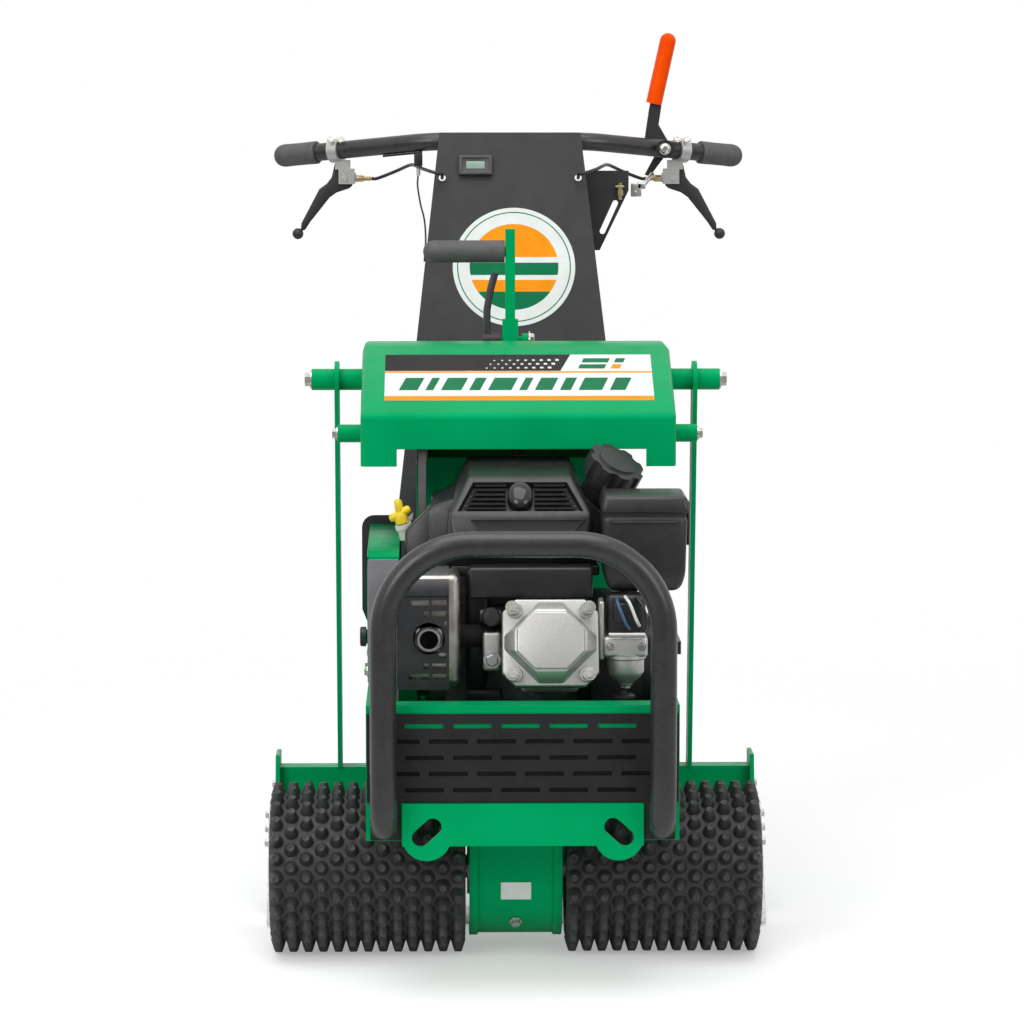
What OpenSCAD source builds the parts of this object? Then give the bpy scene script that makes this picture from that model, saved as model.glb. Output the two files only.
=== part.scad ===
// Walk-behind sod cutter: two studded drive drums, a front engine, a swinging blade and a rear caster.
// X runs to the right of a person facing the machine's front, -Y is the front and +Z is up.
// The origin lies on the floor under the middle of the whole machine.

/* [Wheels] */
// Radius of a drive tyre over its stud tips
tyre_r = 108; // [100:1:115]
// Width of one drive drum
tyre_w = 247; // [230:1:248]
// Gap between the two drums, where the chain case hangs
wheel_gap = 126; // [126:2:136]
// Height of the studs
stud_h = 14; // [8:1:18]
// Spacing of the stud rows across a tyre
stud_pitch = 19; // [16:1:26]
// Width of a stud's blunt tip
stud_tip_w = 8.5; // [6:0.5:10]
// Outer radius of the steel drum under the tyre
rim_r = 76; // [60:1:78]
// Wall of the steel drum
rim_t = 4; // [3:0.5:8]
// Radius of the drive axle
axle_r = 15; // [12:0.5:18]
// Sideways place of the drive line
drive_x = -5; // [-8:1:0]

/* [Chassis] */
// Gap from the tyres to the underside of the tray
tyre_clear = 30; // [25:1:40]
// Width over the tray's side plates
frame_w = 378; // [376:2:390]
// Thickness of the tray's plates
plate_t = 4; // [3:0.5:5]
// Height of the side plates above the tray floor
tray_h = 107; // [100:1:115]
// Tray front, ahead of the axle
front_reach = 255; // [250:1:275]
// Tray rear, behind the axle
rear_reach = 395; // [392:1:420]
// Drop of the front skirt below the tray
skirt_drop = 54; // [45:1:60]
// Depth of the ledge behind the grille's top edge
ledge_w = 34; // [20:1:45]

/* [Front end] */
// Outside width of the bumper hoop
bumper_w = 367; // [340:1:370]
// Radius of the bumper tube
bumper_r = 16; // [13:0.5:18]
// Middle of the bumper tube, ahead of the tray
bumper_gap = 35; // [34:1:60]
// Height of the hoop's top bar above the tray floor
bumper_rise = 306; // [260:1:330]
// Bend radius of the hoop's upper corners
bumper_bend = 105; // [70:1:130]
// Bend radius where a leg turns back to the tray
foot_bend = 32; // [22:1:33]
// Width of the tie-down plate
tie_w = 292; // [260:2:300]
// Height of the tie-down plate between its lobes
tie_h = 52; // [44:1:56]
// Thickness of the tie-down plate
tie_t = 6; // [4:0.5:8]
// Radius of each lobe
lobe_r = 30; // [24:1:32]
// Width of a tie-down slot
slot_w = 21; // [14:1:24]
// Length between the slot's end centres
slot_len = 20; // [12:1:24]
// Angle of the slots
slot_tilt = 42; // [30:1:60]
// Length of a grille slot
vent_l = 46; // [30:1:50]
// Height of a grille slot
vent_h = 7; // [4:0.5:9]
// Grille slots in a row
vent_count = 5; // [3:1:5]
// Rows of grille slots
vent_rows = 5; // [3:1:5]

/* [Chain drive] */
// Width of the chain case
case_w = 114; // [108:1:114]
// Radius of the case around the axle
case_r = 84; // [76:1:88]
// Radius of the case around the upper sprocket
case_top_r = 50; // [46:1:54]
// Wall of the case
case_t = 4; // [3:0.5:5]
// Upper sprocket, behind the axle
out_y = 225; // [215:1:235]
// Upper sprocket, above the tray floor
out_rise = 46; // [42:1:55]
// Tip radius of the axle sprocket
axle_sprocket_r = 58; // [50:1:60]
// Tip radius of the upper sprocket
out_sprocket_r = 29; // [25:1:31]
// Thickness of the chain loop
chain_t = 8; // [6:0.5:9]
// Width of the chain
chain_w = 12; // [8:1:16]
// Radius of the pump's output shaft
out_shaft_r = 10; // [8:0.5:12]

/* [Tower and drive box] */
// Width of the tower
tower_w = 260; // [250:2:270]
// Height of the tower above the tray floor
tower_h = 506; // [490:1:520]
// Tower front, behind the axle
tower_y = 130; // [128:1:140]
// Width of the drive box
box_w = 400; // [390:2:410]
// Sheet thickness of the drive box
box_t = 3; // [2:0.5:4]
// Front of the drive box, behind the axle
box_y = 20; // [15:1:24]
// Depth of the box's sloping face
slope_run = 160; // [150:1:170]
// Height of the sloping face
slope_rise = 75; // [65:1:80]
// Depth of the flat top
flat_run = 115; // [105:1:120]
// Height of the upright front face
lip_h = 44; // [40:1:55]
// Drop of the ears below the front face
ear_h = 22; // [15:1:26]
// Width of each front ear
ear_w = 46; // [36:1:52]
// Rocker shaft, behind the axle
rocker_y = 200; // [195:1:210]
// Rocker shaft, below the top of the box
rocker_drop = 44; // [40:1:48]
// Radius of the rocker shaft
rocker_r = 10; // [8:0.5:11]
// Length of the crank arm on the rocker shaft
crank_arm = 60; // [55:1:66]
// Length of the pitman rod
pitman_len = 120; // [112:1:124]
// Throw of the eccentric
throw = 1.5; // [1:0.1:2]
// Radius of the eccentric
ecc_r = 16; // [13:0.5:18]
// Radius of the eccentric's shaft
ecc_shaft_r = 7; // [6:0.5:9]
// Radius of the bearing pegs on the box's sides
peg_r = 11.5; // [10:0.5:14]
// Length of a bearing peg
peg_len = 30; // [24:1:34]

/* [Cutter] */
// Outer radius of an arm's bush tube
bush_r = 14; // [13:0.5:16]
// Length of an arm's bush tube
bush_len = 66; // [60:1:70]
// Thickness of an arm's flat bar
arm_t = 6; // [5:0.5:8]
// Width of an arm's flat bar
arm_w = 46; // [40:1:52]
// Drop from the rocker shaft to the middle of the beam
arm_drop = 546; // [540:1:548]
// Middle of the beam, behind the rocker shaft
arm_back = 70; // [65:1:85]
// Height of the beam
beam_h = 44; // [36:1:48]
// Depth of the beam
beam_d = 30; // [24:1:36]
// Width inside the blade, which is the width of the cut strip
cut_w = 640; // [638:2:650]
// Thickness of the beam's end plates
end_t = 6; // [5:0.5:8]
// Thickness of the blade
blade_t = 8; // [6:0.5:9]
// Height of the blade's edge above the floor
blade_z = 4; // [3:0.5:12]
// Blade edge, behind the axle
blade_y = 130; // [128:1:145]
// Depth of the blade's cutting plate
blade_d = 75; // [60:1:80]
// Width of a blade leg
leg_w = 52; // [44:1:60]

/* [Engine] */
// Crankcase, to the left of the middle
block_left = 92; // [86:1:94]
// Crankcase, to the right of the middle
block_right = 72; // [66:1:74]
// Crankcase front, ahead of the axle
block_front = 56; // [50:1:58]
// Crankcase back, behind the crankshaft
block_back = 62; // [54:1:64]
// Height of the crankcase, up to its neck
block_h = 200; // [190:1:210]
// Radius of the cylinder barrel
barrel_r = 46; // [42:0.5:48]
// Overhang of the barrel's fins
fin_h = 6; // [4:0.5:7]
// Crankshaft, behind the axle
crank_y = 5; // [2:1:8]
// Crankshaft, above the tray floor
crank_h = 110; // [108:1:116]
// Radius of the crankshaft
crank_r = 14; // [12:0.5:16]
// Middle of the cylinder, to the right
cyl_x = 35; // [30:1:40]
// Upward tilt of the cylinder
cyl_tilt = 18; // [15:1:20]
// Crankshaft to the head's gasket face
cyl_len = 150; // [145:1:155]
// Depth of the cylinder head
head_d = 46; // [40:1:52]
// Width of the cylinder head
head_w = 120; // [110:1:122]
// Height of the cylinder head
head_h = 108; // [100:1:110]
// Depth of the valve cover
cover_d = 32; // [24:1:36]
// Corner cut of the valve cover
cover_cut = 24; // [16:1:28]
// Radius of the flywheel
flywheel_r = 95; // [85:1:98]
// Radius of the blower housing
blower_r = 104; // [101:1:106]
// Blower housing, to the right of the middle
blower_x = 88; // [86:1:90]
// Depth of the blower housing
blower_d = 62; // [60:1:66]
// Radius of the starter's dome
dome_r = 72; // [66:1:80]
// Depth of the starter's dome
dome_d = 26; // [22:1:30]
// Lower edge of the cooling cover, above the tray floor
cover_rise = 250; // [246:1:254]
// Height of the cooling cover
cover_h = 114; // [106:1:118]
// Half width of the cooling cover's foot
cover_half = 96; // [92:1:100]
// Half width of the cooling cover's flat top
crown_half = 64; // [58:1:70]
// Cooling cover's front, ahead of the axle
cover_front = 126; // [120:1:130]
// Cooling cover's back, behind the axle
cover_back = 96; // [90:1:100]
// Tip of the cover's left wing, to the left
wing_x = 143; // [138:1:146]
// Width of the muffler
muffler_w = 74; // [68:1:76]
// Depth of the muffler
muffler_d = 78; // [72:1:82]
// Height of the muffler
muffler_h = 138; // [128:1:142]
// Width of the air cleaner
air_w = 104; // [98:1:108]
// Depth of the air cleaner
air_d = 106; // [100:1:110]
// Height of the air cleaner's box
air_h = 96; // [90:1:100]
// Height of the air cleaner's lid
air_lid_h = 22; // [18:1:26]
// Radius of the fuel cap
cap_r = 37; // [32:0.5:40]
// Radius of the exhaust outlet
outlet_r = 15; // [12:0.5:17]
// Wall of the exhaust outlet
outlet_t = 4; // [2:0.5:5]

/* [Belts] */
// Groove radius of the engine pulley
drive_groove_r = 25; // [22:0.5:28]
// Groove radius of the eccentric's pulley
ecc_groove_r = 33; // [28:0.5:34]
// Groove radius of the pump's pulley
pump_groove_r = 39; // [34:0.5:42]
// Height of a pulley's flanges over its groove
flange_h = 6; // [4:0.5:7]
// Belt width
belt_w = 10; // [8:0.5:11]
// Belt thickness
belt_t = 7; // [5:0.5:8]
// Middle of the cutter belt, to the left
cutter_belt_x = -122; // [-124:0.5:-121]
// Middle of the pump belt, to the left
pump_belt_x = -175; // [-177:0.5:-174]
// Belt guard's outer wall, out from the middle of the pump's belt
guard_out = 28; // [26:1:32]
// Belt guard's inner edge, in from the middle of the pump's belt
guard_in = 25; // [22:1:28]
// Height of the belt guard above the tray
guard_h = 185; // [175:1:195]

/* [Handle] */
// Handle panel's top edge, behind the axle
panel_y = 640; // [630:1:700]
// Handle panel's top edge, above the floor
panel_z = 1031; // [1000:1:1080]
// Slope of the handle panel
panel_tilt = 72; // [70:0.5:74]
// Width of the panel at its top edge
panel_top_w = 200; // [190:2:220]
// Width of the panel at its foot
panel_foot_w = 340; // [320:2:350]
// Length of the panel along its slope
panel_l = 655; // [640:1:665]
// Depth of the panel's side flanges
panel_d = 45; // [40:1:50]
// Sheet thickness of the panel
panel_t = 3; // [2:0.5:4]
// Radius of the handlebar tube
bar_r = 12.7; // [11:0.1:14]
// Handlebar's half width, to the middle of a grip's round end
bar_end_x = 322; // [320:1:335]
// Backward sweep of the handlebar's ends
bar_sweep = 115; // [90:1:125]
// Downward sweep of the handlebar's ends
bar_fall = 22; // [10:1:30]
// Radius of the handle grips
grip_r = 16.5; // [15:0.5:18]
// Length of a handle grip
grip_l = 70; // [60:1:76]

/* [Levers] */
// Cable holes in the panel, from its middle
cable_x = 96; // [90:1:98]
// Cable holes in the panel, down from its top edge
cable_s = 66; // [60:1:72]
// Cable adjusters, inside the levers' pivots
adjuster_x = 16; // [14:1:20]
// Length of a cable adjuster
adjuster_l = 22; // [16:1:26]
// Radius of a clutch cable
cable_r = 2.5; // [2:0.5:3]
// Middle of the lever perches, from the handlebar's middle
perch_x = 248; // [244:1:250]
// Length of a perch's clamp
perch_l = 16; // [14:1:17]
// Drop from the tube to a clutch lever's pivot
pivot_drop = 40; // [36:1:46]
// Sideways reach of a clutch lever
lever_reach = 68; // [62:1:76]
// Downward reach of a clutch lever
lever_fall = 79; // [70:1:90]
// Thickness of a clutch lever
lever_t = 8; // [6:0.5:9]
// Speed lever's pivot, from the handlebar's middle
speed_x = 222; // [218:1:222]
// Thickness of the speed lever
speed_t = 6; // [4:0.5:8]
// Radius of the speed lever's grip
speed_grip_r = 11.5; // [10:0.5:14]
// Length of the speed lever's grip
speed_grip_l = 92; // [80:1:105]
// Depth lever's pivot, behind the drive box
depth_gap = 55; // [53:1:60]
// Depth lever's pivot, above the tray floor
depth_rise = 80; // [78:1:82]
// Length of the latch's finger strap above its pin
strap_l = 90; // [80:1:96]
// Gap from the top of the strap to the depth lever's grip
strap_gap = 29; // [24:1:36]
// Depth lever's bar, above the middle of its grip
depth_over = 30; // [20:1:36]
// Width of the depth lever's bar
depth_bar_w = 13; // [10:0.5:16]
// Radius of the depth lever's pivot tube
depth_hub_r = 16; // [14:0.5:17]
// Radius of the depth lever's trunnion
depth_pin_r = 9; // [8:0.5:11]
// Length of the depth lever's grip
depth_grip_l = 110; // [90:1:115]
// Radius of the depth lever's grip
depth_grip_r = 15; // [13:0.5:17]

/* [Caster] */
// Caster swivel, behind the depth lever's pivot
caster_back = 140; // [136:1:150]
// Radius of the caster wheel
caster_r = 95; // [90:1:97]
// Width of the caster wheel
caster_w = 60; // [50:1:62]
// Trail of the caster
caster_trail = 45; // [40:1:50]
// Radius of the swivel stem
stem_r = 12; // [10:0.5:14]
// Radius of the caster's axle bolt
caster_pin_r = 8; // [6:0.5:9]

/* [Fits] */
// Gap all round a shaft or pin in its bore
fit_gap = 0.05; // [0.03:0.01:0.1]
// Gap between pieces that move past each other
run_gap = 0.5; // [0.3:0.1:0.8]

/* [Hidden] */
$fn = 48;
green = [0.0, 0.52, 0.29];
black = [0.13, 0.13, 0.14];
steel = [0.7, 0.7, 0.72];
cast = [0.55, 0.56, 0.57];

// Levels and axes, each as [y, z]
floor_low = 2 * tyre_r + tyre_clear;
floor_top = floor_low + plate_t;
tray_top = floor_top + tray_h;
skirt_low = floor_low - skirt_drop;
axle = [0, tyre_r];
upper = [out_y, floor_top + out_rise];
crank = [crank_y, floor_top + crank_h];
box_top = floor_top + tower_h + box_t;
fold_z = box_top - slope_rise;
lip_z = fold_z - lip_h;
ear_z = lip_z - ear_h;
box_flat_y = box_y + slope_run;
box_back = box_flat_y + flat_run;
rocker = [rocker_y, box_top - rocker_drop];
pitman_pin = [rocker_y, rocker[1] - crank_arm];
ecc = [rocker_y - pitman_len, pitman_pin[1]];
pump = [out_y - 10, upper[1] + 22];
depth = [box_back + depth_gap, floor_top + depth_rise];
caster = [depth[0] + caster_back, depth[1]];
beam = [rocker_y + arm_back, rocker[1] - arm_drop];
bumper_y = -(front_reach + bumper_gap);
bumper_top = floor_top + bumper_rise;
foot_z = skirt_low + 18;

// Sideways places
side_in = frame_w / 2 - plate_t;
tower_in = tower_w / 2 - plate_t;
box_in = box_w / 2 - box_t;
bush_in = box_w / 2 + 1;
bush_out = bush_in + bush_len;
arm_in = bush_in + bush_len / 2 - arm_t / 2;
beam_out = cut_w / 2 - end_t;
drum_in = wheel_gap / 2;

// Panel: a point at x, down its slope by s and behind its front face by d
panel_run = [-cos(panel_tilt), -sin(panel_tilt)];
panel_back = [sin(panel_tilt), -cos(panel_tilt)];
function on_panel(x, s, d = 0) = [
    x,
    panel_y + s * panel_run[0] + d * panel_back[0],
    panel_z + s * panel_run[1] + d * panel_back[1]
];
function panel_half(s) = panel_top_w / 2 + (panel_foot_w - panel_top_w) / 2 * s / panel_l;

// Handlebar: straight behind the panel's top edge, then swept out, back and down to both ends
bar_seat = on_panel(0, 8, panel_t + bar_r + fit_gap);
bar_bend_x = panel_top_w / 2 + 12;
bar_bend = [bar_bend_x, bar_seat[1], bar_seat[2]];
bar_end = [bar_end_x, bar_seat[1] + bar_sweep, bar_seat[2] - bar_fall];
bar_dir = (bar_end - bar_bend) / norm(bar_end - bar_bend);
function on_bar(x) = bar_bend + bar_dir * (x - bar_bend_x) / bar_dir[0];

// Middle of the whole machine along Y, from the hoop's front to the grips' round ends
mid_y = (bar_end[1] + grip_r + bumper_y - bumper_r) / 2;

// Both sides of a mirrored pair
module pair() {
    children();
    mirror([1, 0, 0]) children();
}

// An outline in Y and Z, made solid from x0 to x1
module slab(x0, x1) translate([x0, 0, 0]) rotate([90, 0, 90]) linear_extrude(x1 - x0) children();

// An outline in X and Z, made solid from y0 to y1
module sheet(y0, y1) translate([0, y1, 0]) rotate([90, 0, 0]) linear_extrude(y1 - y0) children();

// A round bar along X at the place c, given as [y, z]
module bar(r, x0, x1, c) translate([x0, c[0], c[1]]) rotate([0, 90, 0]) cylinder(h = x1 - x0, r = r);

// A ring along X
module ring(ro, ri, x0, x1, c) difference() {
    bar(ro, x0, x1, c);
    bar(ri, x0 - 1, x1 + 1, c);
}

// A round bar along Y at x and z
module bar_y(r, y0, y1, x, z) translate([x, y1, z]) rotate([90, 0, 0]) cylinder(h = y1 - y0, r = r);

// Turns children from the Z axis to the line from a to b
module aim(a, b) {
    v = b - a;
    translate(a) rotate([0, acos(v[2] / norm(v)), atan2(v[1], v[0])]) children();
}

// A round rod from a to b
module rod(a, b, r) aim(a, b) cylinder(h = norm(b - a), r = r);

// A rod from a to b with a round end past b
module capsule(a, b, r) {
    l = norm(b - a);
    dome = [for (t = [0 : 15 : 75]) [r * cos(t), l + r * sin(t)]];
    aim(a, b) rotate_extrude() polygon(concat([[0, 0], [r, 0]], dome, [[0, l + r]]));
}

// A box between two corners
module block(a, b) translate(a) cube(b - a);

// A flanged hex bolt whose head stands out along Z from the seat
module bolt_head(r = 6) {
    cylinder(h = 2, r = r * 1.35);
    translate([0, 0, 2]) cylinder(h = r * 0.8, r = r, $fn = 6);
}

function unit(v) = v / norm(v);
function heading(p, i) = unit(
    i == 0 ? p[1] - p[0] : i == len(p) - 1 ? p[i] - p[i - 1] : unit(p[i + 1] - p[i]) + unit(p[i] - p[i - 1])
);
function normals(p, n, i = 0) = i == len(p) ? [] :
    let (t = heading(p, i), m = unit(n - (n * t) * t)) concat([m], normals(p, m, i + 1));

// A tube along the points p, where n is any direction across the first stretch
module sweep(p, r, n, sides = 12) {
    m = normals(p, n);
    last = (len(p) - 1) * sides;
    rings = [
        for (i = [0 : len(p) - 1]) let (b = cross(heading(p, i), m[i]))
            for (k = [0 : sides - 1]) p[i] + r * (cos(360 * k / sides) * m[i] + sin(360 * k / sides) * b)
    ];
    wall = [
        for (i = [0 : sides : last - 1]) for (k = [0 : sides - 1])
            let (a = i + k, b = i + (k + 1) % sides) each [[a, a + sides, b], [b, a + sides, b + sides]]
    ];
    near = [[for (k = [0 : sides - 1]) k]];
    far = [[for (k = [sides - 1 : -1 : 0]) last + k]];
    polyhedron(points = rings, faces = concat(wall, near, far));
}

// Points of an arc around c, from direction u towards direction v
function arc(c, u, v, r, a0, a1, steps = 6) = [
    for (i = [0 : steps]) let (a = a0 + (a1 - a0) * i / steps) c + r * (cos(a) * u + sin(a) * v)
];

// Round outline between two circles, each given as [y, z]
module loop2d(a, ra, b, rb) hull() {
    translate(a) circle(r = ra, $fn = 32);
    translate(b) circle(r = rb, $fn = 32);
}

// Tray of plates that carries everything: side plates, floor, front skirt, ledge and rear wall
module main_frame() color(green) {
    slope = out_y * (floor_top - tyre_r) / (upper[1] - tyre_r);
    slot_y = [for (k = [-1, 1]) slope - 18 + k * 104];
    case_gap = case_w / 2 + 2;
    strap_h = 18;
    side = [
        [-front_reach, skirt_low], [-tyre_r - 42, skirt_low], [-tyre_r - 12, floor_low],
        [rear_reach, floor_low], [rear_reach, tray_top - 30], [tower_y + 90, tray_top],
        [-front_reach, tray_top]
    ];
    pair() slab(side_in, frame_w / 2) polygon(side);
    difference() {
        block([-side_in, -front_reach, floor_low], [side_in, rear_reach, floor_top]);
        block([drive_x - case_gap, slot_y[0], 0], [drive_x + case_gap, slot_y[1], tray_top]);
    }
    block([-side_in, -front_reach, floor_low - strap_h], [side_in, plate_t - front_reach, floor_low]);
    pair() block([tie_w / 2, -front_reach, skirt_low], [side_in, plate_t - front_reach, floor_low]);
    block([-side_in, -front_reach, tray_top - plate_t], [side_in, ledge_w - front_reach, tray_top]);
    pair() block([side_in / 3, rear_reach - plate_t, floor_top], [side_in, rear_reach, floor_top + 30]);
}

// Tower of plates behind the engine that holds up the drive box and the handle panel
module tower() color(green) {
    foot = [for (z = [floor_top + 312, floor_top + 150])
        [panel_y + (z - panel_z) / tan(panel_tilt) - fit_gap, z]];
    side = [
        [tower_y, floor_top], [tower_y, fold_z], [box_flat_y + 6, box_top - box_t],
        [box_back - box_t - 2, box_top - box_t], [box_back - box_t - 2, lip_z - 50], foot[0], foot[1],
        [depth[0] + 34, depth[1] - 26], [depth[0] - 40, floor_top]
    ];
    pair() difference() {
        slab(tower_in, tower_w / 2) polygon(side);
        bar(rocker_r + run_gap, 0, tower_w, rocker);
        bar(depth_pin_r + fit_gap, 0, tower_w, depth);
        bar(out_shaft_r + run_gap, 0, tower_w, pump);
    }
    block([-tower_in, tower_y, upper[1] + case_top_r], [tower_in, tower_y + plate_t, pitman_pin[1] - 36]);
    block([-tower_in, box_back - 40, lip_z - 40], [tower_in, box_back - 36, lip_z + 30]);
}

// Bent tube hoop that guards the engine's front
module front_bumper() color(black) {
    half = bumper_w / 2 - bumper_r;
    low = foot_z + foot_bend;
    high = bumper_top - bumper_bend;
    ahead = bumper_y + foot_bend;
    side = concat(
        [[half, -front_reach, foot_z]],
        arc([half, ahead, low], [0, 0, -1], [0, -1, 0], foot_bend, 0, 90),
        arc([half - bumper_bend, bumper_y, high], [1, 0, 0], [0, 0, 1], bumper_bend, 0, 90, 10)
    );
    other = [for (i = [len(side) - 1 : -1 : 0]) [-side[i][0], side[i][1], side[i][2]]];
    sweep(concat(side, other), bumper_r, [1, 0, 0], 20);
}

// Lashing plate under the grille, with a lobe and a slanted slot at each end
module tie_down_plate() color(green) sheet(-front_reach - tie_t, -front_reach) difference() {
    low = floor_low - 8 - tie_h;
    lobe_x = tie_w / 2 - lobe_r;
    union() {
        translate([-tie_w / 2, low]) square([tie_w, tie_h]);
        for (s = [-1, 1]) translate([s * lobe_x, low + 12]) circle(r = lobe_r);
    }
    for (s = [-1, 1]) translate([s * lobe_x, low + 17]) rotate(s * -slot_tilt) hull()
        for (k = [-1, 1]) translate([k * slot_len / 2, 0]) circle(d = slot_w, $fn = 32);
}

// Slotted sheet that closes the tray's front, its rows of slots staggered by half a pitch
module front_grille() color(black) difference() {
    high = tray_top - plate_t;
    pitch = 2 * side_in / (vent_count + 1.15);
    row_h = (high - floor_top) / vent_rows;
    block([-side_in, -front_reach, floor_top], [side_in, 3 - front_reach, high]);
    for (row = [0 : vent_rows - 1]) for (i = [0 : vent_count - 1])
        translate([
            (i - vent_count / 2 + 0.25 + 0.5 * (row % 2)) * pitch - vent_l / 2,
            -front_reach - 1,
            floor_top + (row + 0.5) * row_h - vent_h / 2
        ]) cube([vent_l, 5, vent_h]);
}

// Outline of the chain case, drawn in by t from its outside
module case2d(t) {
    loop2d(axle, case_r - t, upper, case_top_r - t);
    translate([t - case_r, tyre_r]) square([case_r, floor_low - tyre_r - t]);
}

// Closed case around the chain, hung under the tray, which carries the axle
module chain_case() color(green) translate([drive_x, 0, 0]) difference() {
    slab(-case_w / 2, case_w / 2) case2d(0);
    slab(case_t - case_w / 2, case_w / 2 - case_t) case2d(case_t);
    bar(axle_r + 9 + fit_gap, -case_w, case_w, axle);
    bar(out_shaft_r + run_gap, -case_w, 0, upper);
}

// Flanged bearing bushes of the axle, one on each side of the case
module axle_bearings() color(steel) translate([drive_x, 0, 0]) pair() difference() {
    union() {
        bar(axle_r + 9, case_w / 2 - 12, case_w / 2 + 1, axle);
        bar(axle_r + 20, case_w / 2, drum_in - 2, axle);
    }
    bar(axle_r + fit_gap, 0, case_w, axle);
}

// Flanged bolts: valve cover, chain case and the plugs of the bearing pegs
module flange_bolts() color(steel) {
    cover_face() for (x = [-1, 1], z = [-1, 1])
        translate([x * (head_w / 2 - 13), z * (head_h / 2 - 13), cover_d - 8]) bolt_head(6);
    translate([drive_x, -case_r * cos(43), tyre_r - case_r * sin(43)]) rotate([133, 0, 0]) bolt_head(6);
    pair() translate([box_w / 2 + peg_len, ecc[0], ecc[1]]) rotate([0, 90, 0]) bolt_head(6.5);
}

// Sheet box over the eccentric, with its bearing pegs and the notched depth quadrant
module drive_box() color(green) {
    outside = [
        [box_y, ear_z], [box_y, fold_z], [box_flat_y, box_top], [box_back, box_top], [box_back, lip_z],
        [box_y + 70, ear_z]
    ];
    inside = [
        [box_y + box_t, 0], [box_y + box_t, fold_z - box_t * 0.6],
        [box_flat_y + box_t * 0.4, box_top - box_t],
        [box_back - box_t, box_top - box_t], [box_back - box_t, 0]
    ];
    difference() {
        slab(-box_w / 2, box_w / 2) polygon(outside);
        slab(-box_in, box_in) polygon(inside);
        block([ear_w - box_w / 2, 0, 0], [box_w / 2 - ear_w + 8, box_y + box_t + 1, lip_z]);
        bar(rocker_r + fit_gap, -box_w, box_w, rocker);
        bar(ecc_shaft_r + fit_gap, -box_w, box_w, ecc);
    }
    pair() ring(peg_r, ecc_shaft_r + fit_gap, box_w / 2, box_w / 2 + peg_len, ecc);
    depth_quadrant();
}

// Notched plate behind the box that the depth latch drops into
module depth_quadrant() {
    far = quadrant_r();
    difference() {
        slab(-40, -36) intersection() {
            translate(depth) circle(r = far, $fn = 96);
            polygon([
                [box_back, box_top - 60], [box_back, box_top], [box_back + 205, box_top],
                [box_back + 205, lip_z + 7]
            ]);
        }
        for (a = [6 : 4 : 18]) translate([0, depth[0], depth[1]]) rotate([-a, 0, 0])
            block([-50, -4, far - 5], [-30, 4, far + 5]);
    }
}
function quadrant_r() = box_top - 34 - depth[1];

// Belt guard's outside, inside, front and back, and its height
function guard_x() = [pump_belt_x - guard_out, pump_belt_x + guard_in];
function guard_y() = [-83, 140];
function guard_top() = tray_top + guard_h;

// Sheet guard over the pump's belt on the left, open towards the engine
module belt_guard() color(green) difference() {
    x = guard_x();
    y = guard_y();
    high = guard_top();
    low = tray_top - 12;
    t = 3;
    union() {
        difference() {
            slab(x[0], x[1]) polygon([
                [y[0], low], [y[0], high - 24], [y[0] + 23, high - 20], [60, high], [y[1], high], [y[1], low]
            ]);
            slab(x[0] + t, x[1] + 10) polygon([
                [y[0] - 7, 0], [y[0] - 7, high - 25 - t], [y[0] + 23, high - 20 - t], [60, high - t],
                [y[1] - t, high - t], [y[1] - t, 0]
            ]);
        }
        bar(8, x[0], -frame_w / 2, [40, tray_top - 8]);
    }
    block([-frame_w / 2 - 1, y[1] - 10, 0], [pump_belt_x + belt_w, y[1] + 10, tray_top + 30]);
}

// Dark sheet that closes the front of the belt guard
module guard_plate() color(black) sheet(guard_y()[0], guard_y()[0] + 3) polygon([
    [-side_in + 0.5, tray_top - 57], [-side_in + 0.5, tray_top + 1], [guard_x()[0] + 3, tray_top + 1],
    [guard_x()[0] + 3, guard_top() - 29], [guard_x()[1], guard_top() - 29], [guard_x()[1], tray_top - 57]
]);

// Hydrostatic pump and gear unit beside the chain case
module hydro_pump() color(cast) {
    x0 = -tower_in + 1;
    x1 = drive_x - case_w / 2 - fit_gap;
    difference() {
        union() {
            block([x0 + 6, out_y - 48, floor_top], [x1 - 4, out_y + 40, upper[1] + 34]);
            bar(26, x1 - 6, x1, upper);
            bar(24, -tower_in, x0 + 8, pump);
            for (i = [0 : 5]) translate([x0 + 10 + i * 8, out_y - 44, upper[1] + 33]) cube([3, 80, 8]);
        }
        bar(out_shaft_r + fit_gap, x0 + 20, x1 + 1, upper);
        bar(out_shaft_r + fit_gap, -tower_in - 1, x0 + 30, pump);
    }
}

// Closed loop of the drive chain around both sprockets
module drive_chain() color([0.3, 0.3, 0.3]) slab(drive_x - chain_w / 2, drive_x + chain_w / 2) difference() {
    loop2d(axle, axle_sprocket_r + run_gap + chain_t, upper, out_sprocket_r + run_gap + chain_t);
    loop2d(axle, axle_sprocket_r + run_gap, upper, out_sprocket_r + run_gap);
}

// One belt around two pulleys
module belt(x, a, ra, b, rb) slab(x - belt_w / 2, x + belt_w / 2) difference() {
    loop2d(a, ra + run_gap + belt_t, b, rb + run_gap + belt_t);
    loop2d(a, ra + run_gap, b, rb + run_gap);
}

// Belt to the eccentric and belt to the pump
module drive_belts() color([0.1, 0.1, 0.1]) {
    belt(cutter_belt_x, crank, drive_groove_r, ecc, ecc_groove_r);
    belt(pump_belt_x, crank, drive_groove_r, pump, pump_groove_r);
}

// Pulley for one belt, on a shaft of radius shaft_r
module pulley(x, c, groove_r, shaft_r) difference() {
    cheek = 2;
    half = belt_w / 2 + run_gap;
    union() {
        bar(groove_r, x - half, x + half, c);
        for (s = [-1, 1]) bar(groove_r + flange_h, x + s * (half + cheek / 2) - cheek / 2,
            x + s * (half + cheek / 2) + cheek / 2, c);
    }
    bar(shaft_r + fit_gap, x - belt_w, x + belt_w, c);
}

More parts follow.
